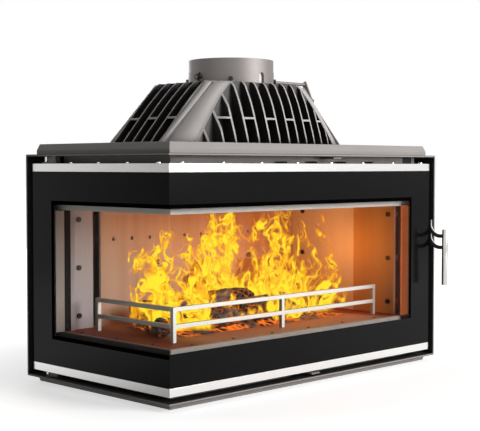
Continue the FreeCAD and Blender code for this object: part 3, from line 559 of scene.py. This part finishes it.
def burning_gas(colours):
    # Burning wood gas: yellow where it is thick, orange at its torn edges, nothing in between
    material, put = new_material("burning_wood_gas")
    coord = put("TexCoord").outputs
    sheet = put("SeparateXYZ", {0: coord["UV"]}).outputs
    # A swirl bends the gas by up to some cm, and then it is drawn out upwards
    swirl = put("TexNoise", {"Vector": coord["Object"], "Scale": 1 / (95 * MM), "Detail": 3.0})
    centred = put("VectorMath", {0: swirl.outputs["Color"], 1: (0.5, 0.5, 0.5)}, operation="SUBTRACT")
    pushed = put("VectorMath", {0: centred, 1: (0.16, 0.16, 0.1)}, operation="MULTIPLY")
    moved = put("VectorMath", {0: coord["Object"], 1: pushed}, operation="ADD")
    drawn = put("VectorMath", {0: moved, 1: (1, 1, 0.26)}, operation="MULTIPLY")
    tall = put("VectorMath", {0: moved, 1: (1, 1, 0.18)}, operation="MULTIPLY")
    # Strands lie where a noise crosses its middle value: broad at the foot, thin at the top
    width = put("MapRange", {"Value": sheet["Y"], "To Min": 0.09, "To Max": 0.034})
    strands = []
    for strand_mm, weight in ((46, 1.0), (19, 0.5)):
        field = put("TexNoise", {"Vector": drawn, "Scale": 1 / (strand_mm * MM), "Detail": 1.5})
        apart = put("Math", {0: field, 1: 0.5}, operation="SUBTRACT")
        away = put("Math", {0: apart}, operation="ABSOLUTE")
        ratio = put("Math", {0: away, 1: width}, operation="DIVIDE")
        strands.append(put("Math", {0: ratio, 1: -weight, 2: weight}, operation="MULTIPLY_ADD"))
    strand = put("Math", {0: strands[0], 1: strands[1]}, operation="MAXIMUM")
    # Tongues of gas rise as columns that thin towards the sheet's foot, sides and top
    columns = put("TexNoise", {"Vector": tall, "Scale": 1 / (60 * MM), "Detail": 1.0})
    top = put("Math", {0: 1.0, 1: sheet["Y"]}, operation="SUBTRACT")
    low = put("Math", {0: top, 1: 2.0}, operation="POWER")
    rise = put("Math", {0: low, 1: 0.12, 2: 0.03}, operation="MULTIPLY_ADD")
    column = put("Math", {0: columns, 1: rise}, operation="ADD")
    foot = put("MapRange", {"Value": sheet["Y"], "From Min": 0.12, "From Max": 0.0, "To Max": 0.2})
    off = put("Math", {0: sheet["X"], 1: 2.0, 2: -1.0}, operation="MULTIPLY_ADD")
    side = put("Math", {0: off}, operation="ABSOLUTE")
    rim = put("MapRange", {"Value": side, "From Min": 0.6, "To Max": 0.4})
    tip = put("MapRange", {"Value": sheet["Y"], "From Min": 0.92, "To Max": 0.22})
    for loss in (foot, rim, tip):
        column = put("Math", {0: column, 1: loss}, operation="SUBTRACT")
    present = put("MapRange", {"Value": column, "From Min": 0.46, "From Max": 0.6})
    core = put("MapRange", {"Value": column, "From Min": 0.58, "From Max": 0.8, "To Max": 0.7})
    threads = put("Math", {0: strand, 1: present}, operation="MULTIPLY")
    density = put("Math", {0: threads, 1: core}, operation="ADD")
    tones = put("ValToRGB", {"Fac": density},
                stops=((0.08, colours.flame_edge), (1.0, colours.flame_core), (0.45, colours.flame_body)))
    cover = put("MapRange", {"Value": density, "From Min": 0.03, "From Max": 0.75, "To Max": 0.96})
    light = put("Emission", {"Color": tones, "Strength": 1.1})
    mixed = put("MixShader", {0: cover, 1: put("BsdfTransparent"), 2: light})
    put("OutputMaterial", {"Surface": mixed})
    return material


def new_piece(name, points, faces, material, smooth=True):
    """A mesh object in the scene with one material. Where it is smooth, its many-sided caps stay flat."""
    mesh = bpy.data.meshes.new(name)
    mesh.from_pydata(points, [], faces)
    mesh.validate()
    mesh.update()
    mesh.materials.append(material)
    for polygon in mesh.polygons:
        polygon.use_smooth = smooth and polygon.loop_total <= 4
    piece = bpy.data.objects.new(name, mesh)
    bpy.context.scene.collection.objects.link(piece)
    return piece


def tube_faces(rings, sides, closed):
    """Faces of a tube of rings: its end rings joined, or each closed by a cap."""
    faces = []
    for ring in range(rings if closed else rings - 1):
        here = ring * sides
        after = (ring + 1) % rings * sides
        for side in range(sides):
            near = (side + 1) % sides
            faces.append((here + side, here + near, after + near, after + side))
    if not closed:
        faces.append(tuple(reversed(range(sides))))
        faces.append(tuple(range((rings - 1) * sides, rings * sides)))
    return faces


def grid_faces(rows, columns):
    """Faces of a sheet of points, row by row."""
    wide = columns + 1
    return [(r * wide + c, r * wide + c + 1, (r + 1) * wide + c + 1, (r + 1) * wide + c)
            for r in range(rows) for c in range(columns)]


class INSERT_OT_finishes(bpy.types.Operator):
    """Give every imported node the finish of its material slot, or its own."""

    bl_idname = "insert.finishes"
    bl_label = "Finishes"

    def execute(self, context):
        colours = context.scene.insert_colours
        sizes = context.scene.insert_sizes
        sheet_slots = ("casing_steel", "flange_steel", "bright_steel", "bar_steel")
        rounded = dict.fromkeys(sheet_slots, sizes.edge_round)
        rounded["hood_casting"] = sizes.casting_round
        finishes = {}
        for part in frame["record"]["subparts"]:
            node = frame["nodes"][part["node"]]
            slot = part["material_slot"]
            make = OWN_FINISHES.get(part["node"], FINISHES[slot])
            if make not in finishes:
                finishes[make] = make(colours)
            node.data.materials.clear()
            node.data.materials.append(finishes[make])
            if slot in rounded:
                weld = node.modifiers.new("one_skin", "WELD")
                weld.merge_threshold = 0.01 * MM
                edge = node.modifiers.new("rounded_edges", "BEVEL")
                edge.width = rounded[slot]
                edge.segments = 3
                edge.limit_method = "ANGLE"
                edge.angle_limit = math.radians(40)
                edge.harden_normals = True
        return {"FINISHED"}


class INSERT_OT_glass_print(bpy.types.Operator):
    """Print the black borders on the face of the two panes."""

    bl_idname = "insert.glass_print"
    bl_label = "Glass print"

    def execute(self, context):
        colours = context.scene.insert_colours
        sizes = context.scene.insert_sizes
        enamel = glass_print(colours)
        tape = seal_tape(colours)
        gauge = sizes.print_gauge
        width = sizes.tape_width
        for pane, run, face, border, step in (("front", 0, 1, sizes.print_right, sizes.print_step),
                                              ("side", 1, 0, sizes.print_rear, 0.0)):
            low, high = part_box(f"{pane}_glass")
            corner = low[run] - 3 * gauge
            foot = low.z + sizes.print_bottom
            end = high[run] - border
            head = high.z - sizes.print_top
            # The black tape of painted shade lies on the glass and the print on the tape, which it covers at
            # the front pane's foot
            for name, level, around, hole, material in (
                    ("print", 3, (corner, high[run], low.z, high.z), (end, foot + step, head), enamel),
                    ("seal_tape", 2, (corner, end + gauge, foot - gauge, head + gauge),
                     (end - width, foot + width, head - width), tape)):
                depth = low[face] - level * gauge
                piece = border_sheet(f"{pane}_{name}", run, face, depth, around, hole, gauge, material)
                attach(piece, "door")
        return {"FINISHED"}


def border_sheet(name, run, face, depth, around, hole, gauge, material):
    """A thin border on three sides of a pane: open at the door's corner, where the panes meet."""
    start, end, low, high = around
    stop, foot, head = hole
    outline = ((start, low), (end, low), (end, high), (start, high),
               (start, head), (stop, head), (stop, foot), (start, foot))
    points = []
    for level in (depth, depth + gauge):
        for along, z in outline:
            point = Vector((0.0, 0.0, z))
            point[run] = along
            point[face] = level
            points.append(point)
    count = len(outline)
    strips = ((0, 1, 6, 7), (1, 2, 5, 6), (2, 3, 4, 5))
    faces = list(strips)
    faces += [tuple(count + i for i in reversed(strip)) for strip in strips]
    faces += [(i, count + i, count + (i + 1) % count, (i + 1) % count) for i in range(count)]
    return new_piece(name, points, faces, material, smooth=False)


class INSERT_OT_door_rope(bpy.types.Operator):
    """Lay the braided rope that seals the door."""

    bl_idname = "insert.door_rope"
    bl_label = "Door rope"

    def execute(self, context):
        lay = context.scene.insert_sizes.rope_lay
        radius = 4.4 * MM
        braid_depth = 0.07
        strands = 4
        sides = 14
        step = 2.0 * MM
        path = rope_path(step)
        rings = len(path)
        points = []
        for i in range(rings):
            along = (path[(i + 1) % rings] - path[i - 1]).normalized()
            outward = Vector((-1, -1, 0)).normalized()
            across = along.cross(outward).normalized()
            outward = across.cross(along).normalized()
            turn = 2 * math.pi * i * step / lay
            for side in range(sides):
                angle = 2 * math.pi * side / sides
                braid = max(math.sin(strands * angle + turn), math.sin(strands * angle - turn))
                reach = radius * (1 - braid_depth + braid_depth * braid)
                points.append(path[i] + (across * math.cos(angle) + outward * math.sin(angle)) * reach)
        rope = new_piece("door_rope", points, tube_faces(rings, sides, True),
                         bpy.data.materials["braided_glass_fibre_rope"])
        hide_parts("door_gasket")
        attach(rope, "door")
        return {"FINISHED"}


def rope_path(step):
    """The closed line of the seal round the door's two openings, with its corners eased."""
    low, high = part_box("door_gasket")
    inset = 5.0 * MM
    passes = 4
    left, front, foot = (value + inset for value in low)
    right, rear, head = (value - inset for value in high)
    corners = [Vector(p) for p in ((left, rear, foot), (left, front, foot), (right, front, foot),
                                   (right, front, head), (left, front, head), (left, rear, head))]
    path = []
    for here, after in zip(corners, corners[1:] + corners[:1]):
        count = round((after - here).length / step)
        path += [here.lerp(after, i / count) for i in range(count)]
    for _ in range(passes):
        path = [(path[i - 1] + path[i] * 2 + path[(i + 1) % len(path)]) / 4 for i in range(len(path))]
    return path


def folded_sheet(name, plan, foot, head, material):
    """An upright sheet from its outline in plan."""
    count = len(plan)
    points = [(x, y, z) for z in (foot, head) for x, y in plan]
    faces = [tuple(reversed(range(count))), tuple(range(count, 2 * count))]
    faces += [(i, (i + 1) % count, count + (i + 1) % count, count + i) for i in range(count)]
    return new_piece(name, points, faces, material, smooth=False)


class INSERT_OT_jamb_lip(bpy.types.Operator):
    """Fold the thin black lip that closes the gap between the jamb and the flange."""

    bl_idname = "insert.jamb_lip"
    bl_label = "Jamb lip"

    def execute(self, context):
        sizes = context.scene.insert_sizes
        low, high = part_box("right_wall")
        gauge = sizes.lip_gauge
        right = high.x + sizes.lip_width
        rear = low.y + sizes.lip_width
        start = high.x + sizes.print_gauge
        clearance = 0.5 * MM
        # The fold in plan: across the gap, then back along the wall
        plan = ((start, low.y), (right, low.y), (right, low.y + gauge), (start + gauge * 2, low.y + gauge),
                (start + gauge, low.y + gauge * 2), (start + gauge, rear), (start, rear))
        lip = folded_sheet("jamb_lip", plan, low.z + clearance, high.z - clearance,
                           bpy.data.materials["sprayed_stove_paint_black_plates"])
        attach(lip, "root")
        return {"FINISHED"}


class INSERT_OT_stile_strip(bpy.types.Operator):
    """Fold the grey strip that stands before the hinge stile and hides the rope."""

    bl_idname = "insert.stile_strip"
    bl_label = "Stile strip"

    def execute(self, context):
        sizes = context.scene.insert_sizes
        gauge = sizes.strip_gauge
        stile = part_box("hinge_stile")[0]
        left = stile.x + 0.5 * MM
        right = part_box("left_jamb")[0].x - gauge
        front = stile.y - sizes.strip_reach
        clearance = 1.0 * MM
        # The fold in plan: across the rope, then back to the stile
        plan = ((left, front), (right, front), (right, front + gauge), (left + gauge, front + gauge),
                (left + gauge, stile.y), (left, stile.y))
        strip = folded_sheet("stile_strip", plan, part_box("side_sill")[1].z + clearance,
                             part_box("side_lintel")[0].z - clearance,
                             bpy.data.materials["sprayed_stove_paint_warm_grey"])
        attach(strip, "door")
        return {"FINISHED"}


class INSERT_OT_hood_hips(bpy.types.Operator):
    """Swell the four hips of the cast hood between their corner ribs and the cooling slots."""

    bl_idname = "insert.hood_hips"
    bl_label = "Hood hips"

    def execute(self, context):
        sizes = context.scene.insert_sizes
        casting = bpy.data.materials["sand_cast_iron_painted"]
        low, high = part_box("smoke_hood")
        middle = (low + high) / 2
        for name, way in (("front_left", (-1, -1)), ("front_right", (1, -1)),
                          ("rear_left", (-1, 1)), ("rear_right", (1, 1))):
            points, faces = hip_skin(sizes, middle, way, low.z)
            hip = new_piece(f"hood_hip_{name}", points, faces, casting)
            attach(hip, "root")
        return {"FINISHED"}


def hip_skin(sizes, middle, way, foot):
    """Points and faces of one hip: a hollow beside the rib, then a swell that ends at the slots."""
    rings = 26
    columns = 22
    hollow_share = 0.15
    # The skin tucks in where it meets the slots, and its back is sunk in the casting
    tuck = 0.6 * MM
    sunk = 2 * MM
    points = []
    for ring in range(rings):
        rise = ring / (rings - 1)
        shoulder = 1 - math.sqrt(1 - rise ** 2)
        drawn_in = 0.85 * rise + 0.15 * shoulder
        laid_back = 0.5 * rise + 0.5 * shoulder
        rib = Vector((sizes.hood_half - sizes.hood_taper * drawn_in, sizes.rib_depth))
        corner = Vector((sizes.hood_corner - sizes.corner_taper * drawn_in,
                         sizes.corner_depth - sizes.corner_lean * laid_back))
        along = corner - rib
        ahead = along.normalized()
        out = Vector((along.y, -along.x)).normalized()
        slots = (sizes.slot_floor - sizes.slot_lean * rise - rib.y) / along.y * along.length
        run = min(slots, along.length) - sizes.rib_inset
        plan = []
        for column in range(columns + 1):
            share = column / columns
            near = max(0.0, 1 - share / hollow_share) ** 2
            swell = math.sin(math.pi * share) ** 1.5
            height = sizes.hip_hollow * near + sizes.hip_swell * swell - tuck * share ** 8
            plan.append(rib + ahead * (sizes.rib_inset + run * share) + out * height)
        plan.append(plan[-1] - out * sunk)
        plan.append(rib + ahead * sizes.rib_inset - out * sunk)
        z = foot + sizes.hood_rise * rise
        points += [(middle.x + way[0] * x, middle.y + way[1] * y, z) for x, y in plan]
    return points, tube_faces(rings, columns + 3, False)


class INSERT_OT_hearth_screws(bpy.types.Operator):
    """Set the small dome screws along the two front edges of the hearth."""

    bl_idname = "insert.hearth_screws"
    bl_label = "Hearth screws"

    def execute(self, context):
        sizes = context.scene.insert_sizes
        radius = sizes.screw_radius
        dome = radius * 0.6
        seat = HEARTH_TOP + 0.05 * MM
        sides = 14
        front_count = 6
        side_count = 3
        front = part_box("front_sill")[1].y + sizes.screw_inset
        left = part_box("side_sill")[1].x + sizes.screw_inset
        first = sizes.screw_inset * 4
        spots = [(left + first + i * sizes.screw_pitch, front) for i in range(front_count)]
        spots += [(left, front + first + i * sizes.screw_pitch) for i in range(side_count)]
        # Radius and height of each ring of the dome, and of the socket in its top
        rings = ((1.0, 0.0), (0.94, 0.35), (0.74, 0.72), (0.45, 0.92), (0.40, 0.45), (0.05, 0.40))
        points = []
        faces = []
        for x, y in spots:
            faces += [tuple(len(points) + i for i in face) for face in tube_faces(len(rings), sides, False)]
            for reach, rise in rings:
                for side in range(sides):
                    angle = 2 * math.pi * side / sides
                    points.append((x + radius * reach * math.cos(angle), y + radius * reach * math.sin(angle),
                                   seat + dome * rise))
        screws = new_piece("hearth_screws", points, faces, bpy.data.materials["oxidised_screw_steel"])
        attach(screws, "root")
        return {"FINISHED"}


class INSERT_OT_logs(bpy.types.Operator):
    """Lay the charred logs on the grate."""

    bl_idname = "insert.logs"
    bl_label = "Logs"

    def execute(self, context):
        thickest = context.scene.insert_sizes.log_radius
        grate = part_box("grate")[1].x
        bark_room = 1.08
        material = charred_wood(context.scene.insert_colours)
        # Middle of each log, its turn about the upright, its tilt, length, share of the thickest and lift
        logs = (((0.030, -0.062), 3, 0, 0.50, 0.80, 0.0),
                ((-0.020, 0.010), -5, 0, 0.46, 1.0, 0.0),
                ((0.030, 0.095), 4, 0, 0.48, 0.85, 0.0),
                ((-0.262, 0.010), 62, 0, 0.22, 0.85, 0.0),
                ((0.080, -0.030), 16, 2, 0.36, 0.70, 0.028),
                ((-0.110, 0.050), -24, -3, 0.30, 0.66, 0.032))
        for index, (middle, turn, tilt, span, share, lift) in enumerate(logs):
            radius = thickest * share
            log = burnt_log(f"fire_log_{index + 1}", span, radius, index, material)
            log.matrix_world = (Matrix.Translation((*middle, HEARTH_TOP + radius * bark_room + lift))
                                @ Matrix.Rotation(math.radians(turn), 4, "Z")
                                @ Matrix.Rotation(math.radians(tilt), 4, "Y"))
            # A log that lies on the grate goes up with it, one beside it stays on the hearth
            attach(log, "grate" if abs(middle[0]) < grate else "root")
        return {"FINISHED"}


def burnt_log(name, span, radius, seed, material):
    """A log along X with ragged bark and worn ends."""
    rings = 90
    sides = 44
    bend = 0.006
    worn_end = 0.72
    wear_slope = 5
    # Steps of the bark's noise in a metre along the log and out from its middle, and from log to log
    steps_along = 30
    steps_out = 55
    steps_between = 7.0
    # Fineness and depth of each layer of the bark's noise
    layers = ((1.0, 0.12), (2.7, 0.09), (6.1, 0.05))
    points = []
    for ring in range(rings):
        along = ring / (rings - 1)
        x = (along - 0.5) * span
        bow = bend * math.sin(math.pi * along + seed)
        worn = min(1.0, worn_end + wear_slope * min(along, 1 - along))
        for side in range(sides):
            angle = 2 * math.pi * side / sides
            way = Vector((0, math.cos(angle), math.sin(angle)))
            spot = (Vector((x * steps_along, 0, 0)) + way * radius * steps_out
                    + Vector((seed * steps_between, 0, 0)))
            bark = sum(noise.noise(spot * fine) * depth for fine, depth in layers)
            points.append(Vector((x, 0, bow)) + way * radius * worn * (1 + bark))
    return new_piece(name, points, tube_faces(rings, sides, False), material)


class INSERT_OT_coals(bpy.types.Operator):
    """Heap the glowing coals under the logs."""

    bl_idname = "insert.coals"
    bl_label = "Coals"

    def execute(self, context):
        columns = 90
        rows = 40
        half_length = 0.27
        half_breadth = 0.100
        depth = 0.020
        lumps_per_metre = 60
        seat = HEARTH_TOP + 0.0006
        points = []
        for row in range(rows + 1):
            v = 2 * row / rows - 1
            for column in range(columns + 1):
                u = 2 * column / columns - 1
                edge = max(0.0, 1 - (abs(u) ** 4 + abs(v) ** 4))
                x = u * half_length
                y = v * half_breadth
                lump = 0.5 + 0.5 * noise.noise(Vector((x * lumps_per_metre, y * lumps_per_metre, 3.0)))
                points.append((x, y, seat + depth * edge * (0.35 + 0.65 * lump)))
        bed = new_piece("ember_bed", points, grid_faces(rows, columns),
                        glowing_coals(context.scene.insert_colours))
        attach(bed, "root")
        return {"FINISHED"}


class INSERT_OT_flames(bpy.types.Operator):
    """Raise the flames over the logs."""

    bl_idname = "insert.flames"
    bl_label = "Flames"

    def execute(self, context):
        tallest = context.scene.insert_sizes.flame_height
        foot_z = HEARTH_TOP + 0.012
        material = burning_gas(context.scene.insert_colours)
        draw = random.Random(context.scene.insert_stage.seed)
        # Foot of each sheet, its turn about the upright, its width and share of the tallest flame
        sheets = (((-0.262, 0.030), -45, 0.13, 0.68), ((-0.185, 0.000), -40, 0.15, 0.80),
                  ((-0.095, -0.010), -50, 0.15, 0.92), ((0.000, -0.010), -42, 0.15, 1.0),
                  ((0.090, -0.015), -48, 0.15, 1.0), ((0.175, -0.020), -43, 0.15, 1.0),
                  ((0.245, -0.025), -46, 0.12, 0.95), ((0.292, -0.030), -44, 0.08, 0.60),
                  ((-0.160, 0.060), -44, 0.20, 0.75), ((0.020, 0.060), -46, 0.20, 0.95),
                  ((0.160, 0.060), -44, 0.20, 0.95), ((-0.285, -0.040), -60, 0.12, 0.40),
                  ((-0.165, -0.100), -14, 0.19, 0.56), ((0.000, -0.100), -12, 0.22, 0.52),
                  ((0.180, -0.100), -14, 0.22, 0.52), ((-0.318, -0.040), -80, 0.15, 0.54),
                  ((-0.250, -0.112), -42, 0.15, 0.46))
        for index, (foot, turn, width, share) in enumerate(sheets):
            flame = flame_sheet(f"flame_{index + 1:02d}", width, tallest * share, draw.random() * 6, material)
            flame.data.transform(Matrix.Translation((*foot, foot_z))
                                 @ Matrix.Rotation(math.radians(turn), 4, "Z"))
            # The fire lamps light the linings, so the sheets neither light nor shade them
            flame.visible_diffuse = False
            flame.visible_shadow = False
            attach(flame, "root")
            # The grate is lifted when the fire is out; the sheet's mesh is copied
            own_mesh(flame)
        return {"FINISHED"}


def flame_sheet(name, width, height, phase, material):
    """An upright wavy sheet of burning gas with its place written in its UV map."""
    rows = 26
    columns = 16
    taper = 0.3
    lean = 0.018
    billow = 0.024
    flutter = 0.010
    points = []
    places = []
    for row in range(rows + 1):
        v = row / rows
        sway = lean * v * math.sin(4 * v + phase)
        for column in range(columns + 1):
            u = column / columns
            across = (u - 0.5) * width * (1 - taper * v) + sway
            wave = billow * math.sin(2.4 * math.pi * u + phase) * v + flutter * math.sin(5 * v + 2 * phase)
            points.append((across, wave, v * height))
            places.append((u, v))
    flame = new_piece(name, points, grid_faces(rows, columns), material)
    layer = flame.data.uv_layers.new(name="place")
    for loop in flame.data.loops:
        layer.data[loop.index].uv = places[loop.vertex_index]
    return flame


class INSERT_OT_stage(bpy.types.Operator):
    """Set up the floor, the lamps, the world and the camera."""

    bl_idname = "insert.stage"
    bl_label = "Stage"

    def execute(self, context):
        scene = context.scene
        stage = scene.insert_stage
        scene.view_settings.view_transform = "Standard"
        studio_world(scene, stage)
        studio_floor(stage)
        studio_lamps(scene, stage)
        camera = bpy.data.cameras.new("camera")
        camera.lens = stage.lens
        camera.sensor_width = 36.0
        camera.clip_end = 100.0
        scene.camera = set_up(scene, camera, place=(-1.9055, -1.9051, 0.4816), way=(0.7058, 0.7071, -0.0432))
        return {"FINISHED"}


def set_up(scene, data, place, way=None):
    """The camera or a lamp at its place, facing a way where one is given."""
    holder = bpy.data.objects.new(data.name, data)
    holder.location = place
    if way is not None:
        holder.rotation_euler = Vector(way).to_track_quat("-Z", "Y").to_euler()
    scene.collection.objects.link(holder)
    return holder


def studio_world(scene, stage):
    """A white background for the camera, mirrors and glass, and a faint light from all round."""
    world = bpy.data.worlds.new("studio")
    scene.world = world
    world.use_nodes = True
    world.node_tree.nodes.clear()
    put = partial(add_node, world.node_tree)
    path = put("LightPath").outputs
    seen = put("Math", {0: path["Is Camera Ray"], 1: path["Is Glossy Ray"]}, operation="MAXIMUM")
    shown = put("Math", {0: seen, 1: path["Is Transmission Ray"]}, operation="MAXIMUM")
    faint = put("Background", {"Color": WHITE, "Strength": stage.ambient})
    white = put("Background", {"Color": WHITE, "Strength": 1.0})
    put("OutputWorld", {"Surface": put("MixShader", {0: shown, 1: faint, 2: white})})


def flat_sheet(name, centre, along, up, material):
    """A flat rectangle from its centre and its two half sides."""
    centre, along, up = Vector(centre), Vector(along), Vector(up)
    points = [centre - along - up, centre + along - up, centre + along + up, centre - along + up]
    return new_piece(name, points, [(0, 1, 2, 3)], material, smooth=False)


def studio_floor(stage):
    """A pale matt floor that the camera sees almost white, with the object's shadow on it."""
    material, put = new_material("pale_matt_paper")
    path = put("LightPath").outputs
    place = put("TexCoord").outputs["Object"]
    away = put("VectorMath", {0: place}, operation="LENGTH")
    rise = put("MapRange", {"Value": away, "From Min": 0.5, "From Max": 0.95,
                            "To Min": stage.floor_lift, "To Max": 1.0})
    seen = put("Math", {0: path["Is Camera Ray"], 1: rise}, operation="MULTIPLY")
    lift = put("Math", {0: path["Is Glossy Ray"], 1: stage.mirror_lift, 2: seen}, operation="MULTIPLY_ADD")
    matt = put("BsdfDiffuse", {"Color": linear("#e6e6e6")})
    white = put("Emission", {"Color": WHITE, "Strength": lift})
    put("OutputMaterial", {"Surface": put("AddShader", {0: matt, 1: white})})
    half = stage.floor_size / 2
    floor = flat_sheet("floor", (0, 0, -0.2 * MM), (half, 0, 0), (0, half, 0), material)
    # Two shaded cards that only mirrors see darken what the left side reflects, less towards the rear:
    # one stands beyond the insert's left side and one lies on the floor before it
    for name, centre, along, up, dark_y, light_y in (
            ("shaded_card", (-2.641, 1.880, 1.0), (0.809, 1.420, 0), (0, 0, 1.6), 1.9, 3.2),
            ("shaded_floor_card", (-1.15, 0.9, 1 * MM), (0.68, 0, 0), (0, 1.2, 0), -0.1, 0.5)):
        card = flat_sheet(name, centre, along, up, shaded_paper(name, dark_y, light_y))
        card.visible_camera = False
        card.visible_diffuse = False
        card.visible_shadow = False
        card.visible_transmission = False


def shaded_paper(name, dark_y, light_y):
    # Printed grey paper that shows its own tone in mirrors: dark at one Y and light at the other
    material, put = new_material(name)
    axes = put("SeparateXYZ", {0: put("TexCoord").outputs["Object"]}).outputs
    shade = put("MapRange", {"Value": axes["Y"], "From Min": dark_y, "From Max": light_y,
                             "To Min": 0.30, "To Max": 0.98})
    put("OutputMaterial", {"Surface": put("Emission", {"Color": WHITE, "Strength": shade})})
    return material


def studio_lamps(scene, stage):
    """A large soft key lamp at the front right, a weaker one behind, and the fire's own warm light."""
    aim = Vector((0, 0, 0.35))
    for name, power, place in (("key_lamp", stage.key_power, Vector((1.55, -3.7, 1.7))),
                               ("rear_lamp", stage.rear_power, Vector((1.9, 3.5, 0.9)))):
        lamp = bpy.data.lights.new(name, "AREA")
        lamp.energy = power
        lamp.shape = "SQUARE"
        lamp.size = 2.2
        set_up(scene, lamp, place, aim - place)
    # Place of each fire lamp, and its share of the power: the fire burns hotter on the right
    fires = (((-0.13, -0.02, 0.34), 0.55), ((0.06, 0.0, 0.27), 1.05), ((0.24, 0.0, 0.27), 1.12))
    for index, (spot, share) in enumerate(fires):
        fire = bpy.data.lights.new(f"fire_lamp_{index + 1}", "POINT")
        fire.energy = stage.fire_power * share
        fire.color = scene.insert_colours.fire_light
        fire.shadow_soft_size = 0.06
        set_up(scene, fire, spot)


STEPS = (INSERT_OT_finishes, INSERT_OT_glass_print, INSERT_OT_door_rope, INSERT_OT_jamb_lip,
         INSERT_OT_stile_strip, INSERT_OT_hood_hips, INSERT_OT_hearth_screws, INSERT_OT_logs,
         INSERT_OT_coals, INSERT_OT_flames, INSERT_OT_stage)


class INSERT_PT_panel(bpy.types.Panel):
    """The steps that dress the insert."""

    bl_label = "Fireplace insert"
    bl_space_type = "VIEW_3D"
    bl_region_type = "UI"
    bl_category = "Insert"

    def draw(self, context):
        for step in STEPS:
            self.layout.operator(step.bl_idname)


GROUPS = {"insert_colours": InsertColours, "insert_sizes": InsertSizes, "insert_stage": InsertStage}


def register():
    for name, group in GROUPS.items():
        bpy.utils.register_class(group)
        setattr(bpy.types.Scene, name, PointerProperty(type=group))
    for step in (*STEPS, INSERT_PT_panel):
        bpy.utils.register_class(step)


def unregister():
    for step in reversed((*STEPS, INSERT_PT_panel)):
        bpy.utils.unregister_class(step)
    for name, group in GROUPS.items():
        delattr(bpy.types.Scene, name)
        bpy.utils.unregister_class(group)


def main():
    register()
    bpy.ops.insert.finishes()
    bpy.ops.insert.glass_print()
    bpy.ops.insert.door_rope()
    bpy.ops.insert.jamb_lip()
    bpy.ops.insert.stile_strip()
    bpy.ops.insert.hood_hips()
    bpy.ops.insert.hearth_screws()
    bpy.ops.insert.logs()
    bpy.ops.insert.coals()
    bpy.ops.insert.flames()
    bpy.ops.insert.stage()


if __name__ == "__main__":
    main()
